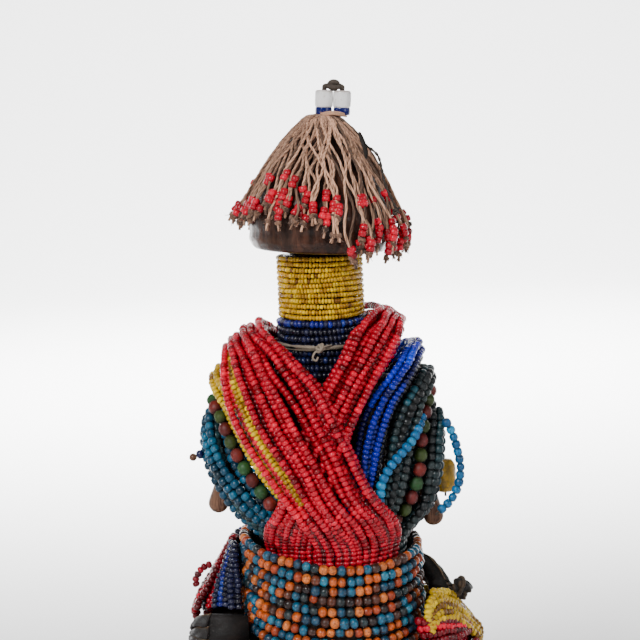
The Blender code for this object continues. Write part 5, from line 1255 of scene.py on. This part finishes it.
def make_belt(looks):
    """Wind the belt's nine wavering rows, one of them of larger beads, on a thin wall of thread."""
    chance = np.random.default_rng(41)
    angles = np.linspace(0, 360, 400, endpoint=False)
    steps = angles / 360
    shapes = []
    for row in range(BELT_ROWS):
        large = row == LARGE_BELT_ROW
        share = 1 - (row + 0.5) / BELT_ROWS + wave(chance, steps, 0.012, (2, 5, 9))
        layer = wave(chance, steps, 0.28, (3, 7, 11)) + 0.25 * large
        radius, pitch = (2.25, 3.75) if large else (BELT_BEAD / 2 * 1.02, 3.5)
        line = belt_points(angles, share, layer)
        colours = [belt_colours(row, chance)]
        shapes.append(strung([line], radius, pitch, colours, chance, closed=True, vary=0.05, tilt=0.1,
                             profile=BELT_PROFILE, sides=9))
    backing = belt_points(angles[::4], 0.5, -1.4)
    lift = np.linspace(-0.5, 0.5, 3)[:, None, None] * np.array([0, 0, BELT_ROWS * BELT_ROW_PITCH - 3.0])
    wall = backing + lift
    inner = wall[::-1] * np.array([0.975, 0.975, 1.0])
    shapes.append(ring_wall(np.concatenate([wall, inner]), 0.6))
    piece("belt_rows", shapes, [looks["belt"], looks["thread"]], "belt_beads", "waist_belt_beads")


def hip_lines(first, last, count, layer_edges, chance, wander=0.03, depth=0.0):
    """Lines on the hips: each blends two edge routes by its step, wanders, and lies at its layer."""
    near, far = through(first, HIP_SAMPLES), through(last, HIP_SAMPLES)
    run = np.linspace(0, 1, HIP_SAMPLES)
    lines = []
    for number in range(count):
        own = (number + 0.5) / count + wave(chance, run, wander)
        angles, shares = mix(near, far, own[:, None]).T
        layers = mix(*layer_edges, own) - depth + wave(chance, run, 0.03)
        lines.append(hip_points(angles, shares, layers))
    return lines


def make_hips(looks):
    """Wind the red rows round the hips, and lay the side patches and the plain far strands over them."""
    chance = np.random.default_rng(51)
    angles = np.linspace(0, 360, 300, endpoint=False)
    steps = angles / 360
    hip_height = BELT_TOP - LEG_TOP
    low, high = SEED_RADIUS / hip_height, (HIP_ROWS_TOP - LEG_TOP - SEED_RADIUS) / hip_height
    rows = []
    tucked = [(1.0, 0.72), (1.0, 0.45), (1.0, 0.2), (0.0, 0.8)]
    for step, layer in [(row / 7, 0.985) for row in range(8)] + tucked:
        share = mix(low, high, step) + wave(chance, steps, 0.006, (2, 5, 9))
        rows.append(hip_points(angles, share, layer + wave(chance, steps, 0.02, (3, 5, 8))))
    beads = strung(rows, SEED_RADIUS * 1.02, 2.1, [REDS, DEEP_REDS], chance, closed=True, run=6.0, sides=6)
    heights = np.linspace(low + 0.01, high - 0.01, 5)[:, None]
    bed = ring_wall(np.concatenate([
        hip_points(angles[::4], heights, 0.8), hip_points(angles[::4], heights[::-1], 0.02)]), 0.7)
    piece("hip_rows_red", [beads, bed], [looks["red"], looks["thread"]], "red_beads", "hip_red_rows")

    def patch(look, name, node, edges, count, palettes, layers=(1.0, 1.0), lower=0.3, added=(), run=5.0):
        """Lay a patch of strands in two depths between its edges, added lines among the outer ones."""
        shapes = []
        for depth, more in ((0.0, list(added)), (lower, [])):
            lines = hip_lines(*edges, count, layers, chance, depth=depth) + more
            shapes.append(strung(lines, SEED_RADIUS, HIP_PITCH, palettes, chance, run=run))
        piece(name, shapes, looks[look], look + "_beads", node)

    mixed_reds, mixed_navies = [DEEP_REDS, REDS, DEEP_REDS], [NAVIES, COBALTS, NAVIES]
    patch("red", "hip_left_red", "hip_red_strands_left", (HIP_RED_LEFT_FAR, HIP_RED_LEFT_NEAR), 6, mixed_reds)
    patch("navy", "hip_left_navy", "hip_blue_strands_left", (HIP_BLUE_LEFT_FAR, HIP_BLUE_LEFT_NEAR), 4,
          mixed_navies, (0.85, 0.4), 0.25)
    hanging = hip_lines(HIP_YELLOW_FALL_NEAR, HIP_YELLOW_FALL_FAR, 5, (1.02, 1.06), chance)
    patch("yellow", "hip_right_yellow", "hip_yellow_strands_right", (HIP_YELLOW_TOP, HIP_YELLOW_BOTTOM), 5,
          [YELLOWS], added=hanging, run=3.0)
    patch("red", "hip_right_red", "hip_red_strands_right", (HIP_RED_RIGHT_TOP, HIP_RED_RIGHT_BOTTOM), 4,
          mixed_reds)

    lines = hip_lines(HIP_FAR_LEFT_EDGE, HIP_FAR_RIGHT_EDGE, 27, (1.0, 1.0), chance, 0.004)
    beads = strung(lines, SEED_RADIUS * 1.02, HIP_PITCH, mixed_navies + [DEEP_REDS], chance, run=5.0)
    near, far = (through(edge, 12)[:, None] for edge in (HIP_FAR_LEFT_EDGE, HIP_FAR_RIGHT_EDGE))
    spin, share = np.moveaxis(mix(near, far, np.linspace(0.01, 0.99, 40)[:, None]), -1, 0)
    outer, inner = (hip_points(spin, share * 0.995, layer) for layer in (0.8, 0.05))
    bed = ring_wall(np.concatenate([outer, inner[::-1]]), 0.7, closed_columns=False)
    piece("hip_far_navy", [beads, bed], [looks["navy"], looks["thread"]], "navy_beads", "hip_strands_far")
    loop = strung([through(raised(HIP_LOOP_PLACES, DRAPE_TOP), 60)], SEED_RADIUS, 2.1, [DEEP_REDS], chance)
    piece("hip_loop_red", loop, looks["red"], "red_beads", "hip_red_loop_left")


def strap_turns():
    """The strap's turns: squared-off round strips, creased by sines, standing on the hips, and their bed."""
    top, bottom = through(STRAP_TOP, 220), through(STRAP_BOTTOM, 220)
    spin = top[:, :1]
    width = top[:, 1:] - bottom[:, 1:]
    circle = full_turn(20)
    across = 0.5 - 0.5 * signed_power(np.cos(circle), 0.55)
    rise = signed_power(np.sin(circle), 0.7)
    shapes = []
    for turn in range(STRAP_TURNS):
        upper = top[:, 1:] - width * turn / STRAP_TURNS
        lower = top[:, 1:] - width * (turn + 0.98) / STRAP_TURNS
        shares = mix(upper, lower, across)
        crease = 0.22 * np.sin(across * 9 + spin * 0.13 + turn)
        crease = crease + 0.16 * np.sin(spin * 0.55 + across * 4 + turn * 2)
        stand = mix(0.35, 1.25, across) * STRAP_THICKNESS - 0.5 + 0.62 * rise + crease * (rise > 0)
        outward = outward_of(hip_points, spin, shares, 1.0)
        points = hip_points(spin, shares, 1.0) + outward * stand[..., None]
        edge = np.exp(-((across - 0.04) / 0.07) ** 2) * (rise > -0.3) + 0 * spin
        shapes.append(solid_grid(points[::-1], end=edge[::-1].ravel(), chance=0.2 * turn))
    rows = np.linspace(0, 219, 90).astype(int)
    steps = np.concatenate([np.linspace(0.03, 0.97, 6), [0.9, 0.1]])
    layers = np.array([0.98] * 6 + [0.05] * 2)
    shapes.append(solid_grid(hip_points(spin[rows], top[rows, 1:] - width[rows] * steps, layers)[::-1]))
    return shapes


def strap_knot():
    """The strap's knot: three pleated balls leaning on each other, with a flat loop round them."""
    middle = hip_points(np.array([STRAP_TOP[-1][0]]), np.array([STRAP_KNOT_SHARE]), 1.0)[0]
    middle = middle + np.array([STRAP_KNOT_REACH, 0, 0])
    lean = Matrix.Rotation(0.3, 3, "Z") @ Matrix.Rotation(0.55, 3, "Y") @ Matrix.Rotation(0.2, 3, "X")
    lean = np.array(lean).T
    lift = np.linspace(-math.pi / 2, math.pi / 2, 30)[:, None]
    turns = full_turn(48)
    swell = np.cos(lift) ** 0.6
    shapes = []
    for offset, (width, depth, height), pleats in STRAP_KNOT_BALLS:
        fold = 1 + 0.10 * np.sin(turns * pleats + 1.3 * np.sin(lift * 2)) * np.cos(lift)
        ball = ringed(turns, width * swell * fold, depth * swell * fold,
                      height * np.sin(lift) * (1 + 0.12 * np.sin(turns * 2)))
        ridge = np.clip((fold - 1.03) * 6, 0, 0.3)
        shapes.append(solid_grid(middle + (ball + np.array(offset)) @ lean, end=ridge.ravel(), chance=0.5))
    band = full_turn(60)
    loop = stacked(-1.5, 3.7 * np.cos(band), 4.1 * np.sin(band))
    flat = 0.9 + 0.25 * np.cos(2 * full_turn(8))
    loop = tubes(middle + loop @ lean, flat[None, None], (1, 0, 0.3), 8, closed=True, end=0.3, chance=0.9)
    return shapes + [loop]


def make_strap(looks):
    """Wrap the leather in three overlapping turns, and fold its knot into rolled pleats."""
    shapes = strap_turns() + strap_knot()
    piece("hip_leather_turns", shapes, looks["leather"], "leather", "hip_leather_strap")


# The cap of cords and its top knot

CORDS_IN_LOCK, FRAYED_HAIRS = 8, 5
BEAD_STEP = 2.45
TURNED_SIDES = 40


def cord_routes(chance):
    """Middle lines of the cap's cords: over the crown and down to the hem, drawn together into locks."""
    lock_step = 360.0 / FRINGE_LOCKS
    locks = lock_step * np.repeat(np.arange(FRINGE_LOCKS), CORDS_IN_LOCK)
    count = len(locks)
    middle = locks + lock_step * 0.25
    angle_end = (middle + chance.normal(0, 7.6, count))[:, None]
    angle_start = (middle + chance.normal(0, 34.0, count))[:, None]
    hem = (fringe_hems(locks + lock_step * 0.5) + chance.normal(0.8, 2.9, count))[:, None]
    steps = np.linspace(0, 1, 50)
    top = HEAD_TOP + FRINGE_LIFT
    height = top - (top - hem) * steps ** 1.7
    sway = np.stack([wave(chance, steps, 4.0, (0.8, 1.9, 4.3)) for _ in range(count)])
    angles = mix(angle_start, angle_end, soft_step(steps, 0.0, 0.8)) + sway * (0.3 + steps)
    depth = chance.random((count, 1)) * 2.1
    lift = np.stack([wave(chance, steps, 0.6, (1.1, 2.7, 5.2)) for _ in range(count)])
    kick = chance.normal(0.1, 1.2, (count, 1)) * soft_step(steps, 0.78, 1.0)
    radius = fringe_radii(height) - 0.55 - depth + lift * steps + kick
    radius = radius * (0.25 + 0.75 * soft_step(steps, 0.0, 0.12))
    turns = np.radians(angles)
    return ringed(turns, radius, radius, height + 0.35), turns


def near_hem(run, line, back):
    """Point and direction of a cord at a length back from its end."""
    places = run[-1] - back + np.array([0.0, 0.6, -0.6])
    point, after, before = stacked(*(np.interp(places, run, line[:, axis]) for axis in range(3)))
    return point, unit(after - before)


def fringe_ends(runs, lines, chance):
    """Points and directions of the red beads and of the knots: no, one or two beads above a cord's knot.

    A few cords carry one or two more beads further up.
    """
    beads, knots = [], []
    for run, line in zip(runs, lines):
        back = 2.2 + chance.random() * 1.6
        knots.append(near_hem(run, line, back))
        drawn = chance.random()
        starts = [back + 2.4] * (drawn < 0.88) + [back + 2.4 + BEAD_STEP] * (drawn < 0.72)
        if chance.random() < 0.18:
            start = back + 9.0 + chance.random() * 9.0
            starts += [start] + [start + BEAD_STEP] * (chance.random() < 0.5)
        beads += [near_hem(run, line, start) for start in starts]
    return np.array(beads).transpose(1, 0, 2), np.array(knots).transpose(1, 0, 2)


def make_fringe(looks):
    """Hang the plied cords, and string red beads above the frayed knot at each cord's end."""
    chance = np.random.default_rng(71)
    lines, turns = cord_routes(chance)
    count, rows = turns.shape
    tangent = stacked(-np.sin(turns), np.cos(turns), 0)
    run = np.cumsum(np.linalg.norm(np.diff(lines, axis=1), axis=2), axis=1)
    run = np.concatenate([np.zeros((count, 1)), run], axis=1)
    sides = 7
    ply = np.abs(np.cos(run[..., None] * (2 * math.pi / 5.2) + full_turn(sides)))
    tone = np.repeat(chance.random(count), rows * sides)
    # End mark: painted shade, deepest in the grooves between the plies.
    cords = tubes(tilted(lines), 0.53 * (0.68 + 0.42 * ply), tilted_directions(tangent), sides,
                  end=(1 - ply).ravel() ** 2, chance=tone)

    (places, directions), (knots, ahead) = fringe_ends(run, lines, chance)
    level = np.array([1.0, 1.0, 0.0])
    total = len(places)
    reds = bead_solids(
        tilted(places + unit(places * level) * 0.15),
        unit(tilted_directions(directions) + chance.normal(0, 0.12, (total, 3))),
        1.62 * (1 + np.clip(chance.normal(0, 0.05, total), -0.1, 0.1)), np.full(total, 1.2),
        picked(chance, total, REDS), chance, BARREL_PROFILE, 9)

    side = unit(np.cross(ahead, knots * level))
    front = np.cross(ahead, side)
    turn = np.linspace(0, 2 * math.pi * 1.7, 18)[:, None]
    size = 0.72 + 0.3 * chance.random((count, 1, 1))
    coil = (knots[:, None] + side[:, None] * np.cos(turn) * size + front[:, None] * np.sin(turn) * size
            + ahead[:, None] * ((turn / turn.max() - 0.5) * 1.5 + 0.45 * np.cos(turn * 1.6)))
    tied = tubes(tilted(coil), 0.58, tilted_directions(ahead)[:, None], 5, end=0.3,
                 chance=np.repeat(chance.random(count), len(turn) * 5))

    hairs, points = count * FRAYED_HAIRS, 5
    shoot = unit(ahead[:, None] + chance.normal(0, 0.42, (count, FRAYED_HAIRS, 3)))
    tips = unit(shoot + chance.normal(0, 0.35, (count, FRAYED_HAIRS, 3)) + np.array([0, 0, -0.25]))
    reach = (1.6 + 1.9 * chance.random((count, FRAYED_HAIRS, 1)))[:, :, None]
    step = np.linspace(0, 1, points)[:, None]
    hair_lines = (knots[:, None, None] + shoot[:, :, None] * reach * step
                  + (tips - shoot)[:, :, None] * reach * step ** 2 * 0.6)
    frayed = tubes(tilted(hair_lines.reshape(hairs, points, 3)), np.linspace(0.26, 0.08, points)[None],
                   (0.3, 0.9, 0.2), 3, end=0.1, chance=np.repeat(chance.random(hairs), points * 3))
    piece("fringe_cords", cords, looks["cord"], "cord", "cord_fringe")
    piece("fringe_red_beads", reds, looks["red"], "red_beads", "cord_fringe")
    piece("fringe_knots", [tied, frayed], looks["knot"], "cord", "cord_fringe")


def tilted_directions(vectors):
    """Directions turned with the head."""
    return tilted(vectors + np.array([0, 0, NECK_TOP])) - np.array([0, 0, NECK_TOP])


def turned(profile, place, **marks):
    """A closed profile of radius and height turned about an upright line of the head's frame."""
    radius, height = np.array(profile, float).T[..., None]
    points = tilted(ringed(full_turn(TURNED_SIDES), radius, radius, height) + np.array(place))
    return shape(points, [grid_faces(len(profile), TURNED_SIDES, closed_rows=True)], **marks)


def pierced_profile(radius, height, hole, soft):
    """Closed outline of a pierced bead: up its wall, round both rims and back down its hole."""
    lift = np.linspace(0, math.pi / 2, 6)
    rise, fall, rim = np.sin(lift), np.cos(lift), soft * 0.4
    parts = (
        (radius - soft + soft * rise, soft - soft * fall), ([radius * 1.02], [height * 0.5]),
        (radius - soft + soft * fall, height - soft + soft * rise),
        (hole + rim * (1 - rise), height - rim * (1 - fall)), (hole + rim * (1 - fall), rim * (1 - rise)),
    )
    return np.hstack([np.array(part) for part in parts]).T


def make_top_knot(looks):
    """Set pierced white beads on dark blue ones, tie the thong over them and wind cord round the base."""
    base_z = HEAD_TOP + FRINGE_LIFT + CLEARANCE
    left_x = 0.2
    right_x = left_x + 2 * WHITE_BEAD_RADIUS + CLEARANCE
    blue_profile = pierced_profile(BLUE_BEAD_RADIUS * 1.05, BLUE_BEAD_HEIGHT + 0.3, 0.9, 0.5)
    white_profile = pierced_profile(WHITE_BEAD_RADIUS + 0.12, WHITE_BEAD_HEIGHT + 0.3, 1.15, 1.0)
    stained = np.clip(white_profile[:, 1] / WHITE_BEAD_HEIGHT, 0, 1) ** 5 * 0.9
    stained = np.repeat(np.maximum(stained, white_profile[:, 0] < 2.2), TURNED_SIDES)
    for word, place in (("left", left_x), ("right", right_x)):
        blue = turned(blue_profile, (place, 0, base_z), colour=TOP_BLUE)
        piece("blue_glass_" + word, blue, looks["blue"], "blue_beads", "blue_bead_" + word)
        white = turned(white_profile, (place, 0, base_z + BLUE_BEAD_HEIGHT), colour=TOP_WHITE, end=stained)
        piece("white_glass_" + word, white, looks["white"], "white_beads", "white_bead_" + word)

    white_top = base_z + BLUE_BEAD_HEIGHT + CLEARANCE + WHITE_BEAD_HEIGHT
    knot_z = white_top + CLEARANCE + THONG_RADIUS
    middle = (left_x + right_x) / 2
    strap = through((
        (left_x, 0, white_top - 1.5), (left_x + 0.3, 0, knot_z - 0.1), (left_x + 2.4, -0.5, knot_z + 0.3),
        (middle + 1.4, 0.5, knot_z + 0.3), (right_x - 0.3, 0, knot_z - 0.1), (right_x, 0, white_top - 1.5),
    ), 60)
    thickness = 1.05 + 0.10 * np.sin(np.linspace(0, 40, 60))
    shapes = [tubes(tilted(strap), thickness[None], (0.1, 1, 0.05), 9, end=0.2, chance=0.4)]
    steps = full_turn(48)
    for lean, size, thick, lift in ((0.3, 2.1, 0.95, 0.1), (-0.9, 1.7, 0.9, 0.8), (1.5, 1.5, 0.85, 0.3)):
        height = size * 0.85 * np.sin(steps) * math.sin(lean)
        loop = ringed(steps, size, size * 0.85 * math.cos(lean), height)
        loop = tilted(loop + np.array([middle + 0.1, -0.1, knot_z + lift]))
        shapes.append(tubes(loop, thick, (0.25, 0.6, 0.7), 8, closed=True, end=0.35, chance=0.7))
    winding = np.linspace(0, 2 * math.pi * 2.6, 120)
    height = HEAD_TOP + FRINGE_LIFT + 0.1 + 0.55 * winding / (2 * math.pi) + 0.3 * np.sin(winding * 3)
    coil = tilted(ringed(winding, 5.2, 4.9, height) + np.array([middle, 0, 0]))
    shapes.append(tubes(coil, 0.62, (0, 0, 1), 7, end=0.1, chance=0.6, skin=1))
    piece("thong_and_windings", shapes, [looks["thong"], looks["cord"]], "thong", "top_thong")


def make_head_cord(looks):
    """Let the dark cord stand out at the cap's right, with an end knot and a flat dark sliver by it."""
    line = through(raised(HEAD_CORD_PLACES, HEAD_TOP), 80)
    thickness = HEAD_CORD_RADIUS * (0.85 + 0.2 * np.sin(np.linspace(0, 60, 80)))
    turn = np.linspace(0, 2 * math.pi * 1.8, 40)
    knot = line[-1] + ringed(turn, 1.0, 0.8, 0.5 * np.cos(turn * 1.5) - turn * 0.12)
    blade = 0.25 + 1.0 * np.sin(np.linspace(0.15, math.pi - 0.1, 40)) ** 0.7
    flat = np.abs(np.cos(full_turn(8))) * 0.75 + 0.25
    shapes = [
        tubes(tilted(line), thickness[None], (0, 1, 0.4), 7, end=0.3, chance=0.2),
        tubes(tilted(knot), 0.5, (0, 0.2, 1), 6, end=0.3, chance=0.3),
        tubes(tilted(through(raised(SLIVER_PLACES, HEAD_TOP), 40)), (blade[:, None] * flat)[None],
              (0.8, -0.6, 0.2), 8, end=0.1),
    ]
    piece("head_cord_and_sliver", shapes, looks["thong"], "thong", "dark_head_cord")


# Floor, light and camera

def make_stage():
    """Pale floor, a wide disc whose rim rises in a smooth curve, with soft light from four sides."""
    bend = np.linspace(0.1, math.pi / 2, 16)
    reach = np.concatenate([np.linspace(0.001, 2.0, 12), 2.0 + 1.4 * np.sin(bend)])[:, None]
    rise = np.concatenate([np.zeros(12), 1.4 * (1 - np.cos(bend))])[:, None]
    points = ringed(full_turn(64), reach, reach, rise)
    rows, columns = points.shape[:2]
    faces = grid_faces(rows, columns).tolist() + [list(range(columns))[::-1]]
    mesh = bpy.data.meshes.new("floor")
    mesh.from_pydata(points.reshape(-1, 3).tolist(), [], faces)
    mesh.polygons.foreach_set("use_smooth", np.full(len(faces), True))
    floor = bpy.data.objects.new("floor", mesh)
    bpy.context.scene.collection.objects.link(floor)
    material = bpy.data.materials.new("pale_floor")
    material.use_nodes = True
    shader = material.node_tree.nodes["Principled BSDF"].inputs
    join(shader["Base Color"], (0.93, 0.93, 0.93))
    join(shader["Roughness"], 0.9)
    mesh.materials.append(material)

    world = bpy.data.worlds.new("soft_white")
    world.use_nodes = True
    background = world.node_tree.nodes["Background"].inputs
    join(background["Color"], (1.0, 1.0, 1.0))
    join(background["Strength"], 0.16)
    bpy.context.scene.world = world

    for name, place, target, size, power in (
            ("key_light", (-0.50, -0.85, 0.85), (0, 0, 0.19), 0.26, 12.0),
            ("fill_light", (0.80, -0.70, 0.50), (0, 0, 0.19), 0.50, 2.6),
            ("top_light", (0.05, 0.20, 1.20), (0, 0, 0.20), 0.40, 2.0),
            ("background_light", (0.0, 0.90, 1.20), (0, 2.6, 0.0), 0.80, 230.0)):
        lamp = bpy.data.lights.new(name, "AREA")
        lamp.size, lamp.energy = size, power
        light = bpy.data.objects.new(name, lamp)
        light.location = place
        light.rotation_euler = (Vector(target) - Vector(place)).to_track_quat("-Z", "Y").to_euler()
        bpy.context.scene.collection.objects.link(light)


def make_camera():
    """Camera at the photograph's height and distance, pitched 7.5 degrees down and rolled 2.45 degrees."""
    pitch, roll = math.radians(7.5), math.radians(2.45)
    distance, target_height, shift = 0.632, 0.212, 0.0008
    forward = Vector((0, math.cos(pitch), -math.sin(pitch)))
    right, up = Vector((1, 0, 0)), Vector((0, math.sin(pitch), math.cos(pitch)))
    rolled_right = right * math.cos(roll) - up * math.sin(roll)
    rolled_up = right * math.sin(roll) + up * math.cos(roll)
    place = Vector((0, 0, target_height)) - forward * distance - rolled_right * shift
    data = bpy.data.cameras.new("camera")
    data.sensor_width = 36.0
    data.lens = 1580.0 / 640.0 * data.sensor_width
    data.clip_start = 0.01
    camera = bpy.data.objects.new("camera", data)
    turn = Matrix((rolled_right, rolled_up, -forward)).transposed().to_4x4()
    camera.matrix_world = Matrix.Translation(place) @ turn
    bpy.context.scene.collection.objects.link(camera)
    bpy.context.scene.camera = camera


def main():
    """Set up floor, light and camera, and make every piece of the doll."""
    make_stage()
    make_camera()
    looks = all_finishes()
    for make in (make_wood, make_neck, make_bundles, make_large_strands, make_right_loops, make_belt,
                 make_hips, make_strap, make_fringe, make_top_knot, make_head_cord):
        make(looks)


main()
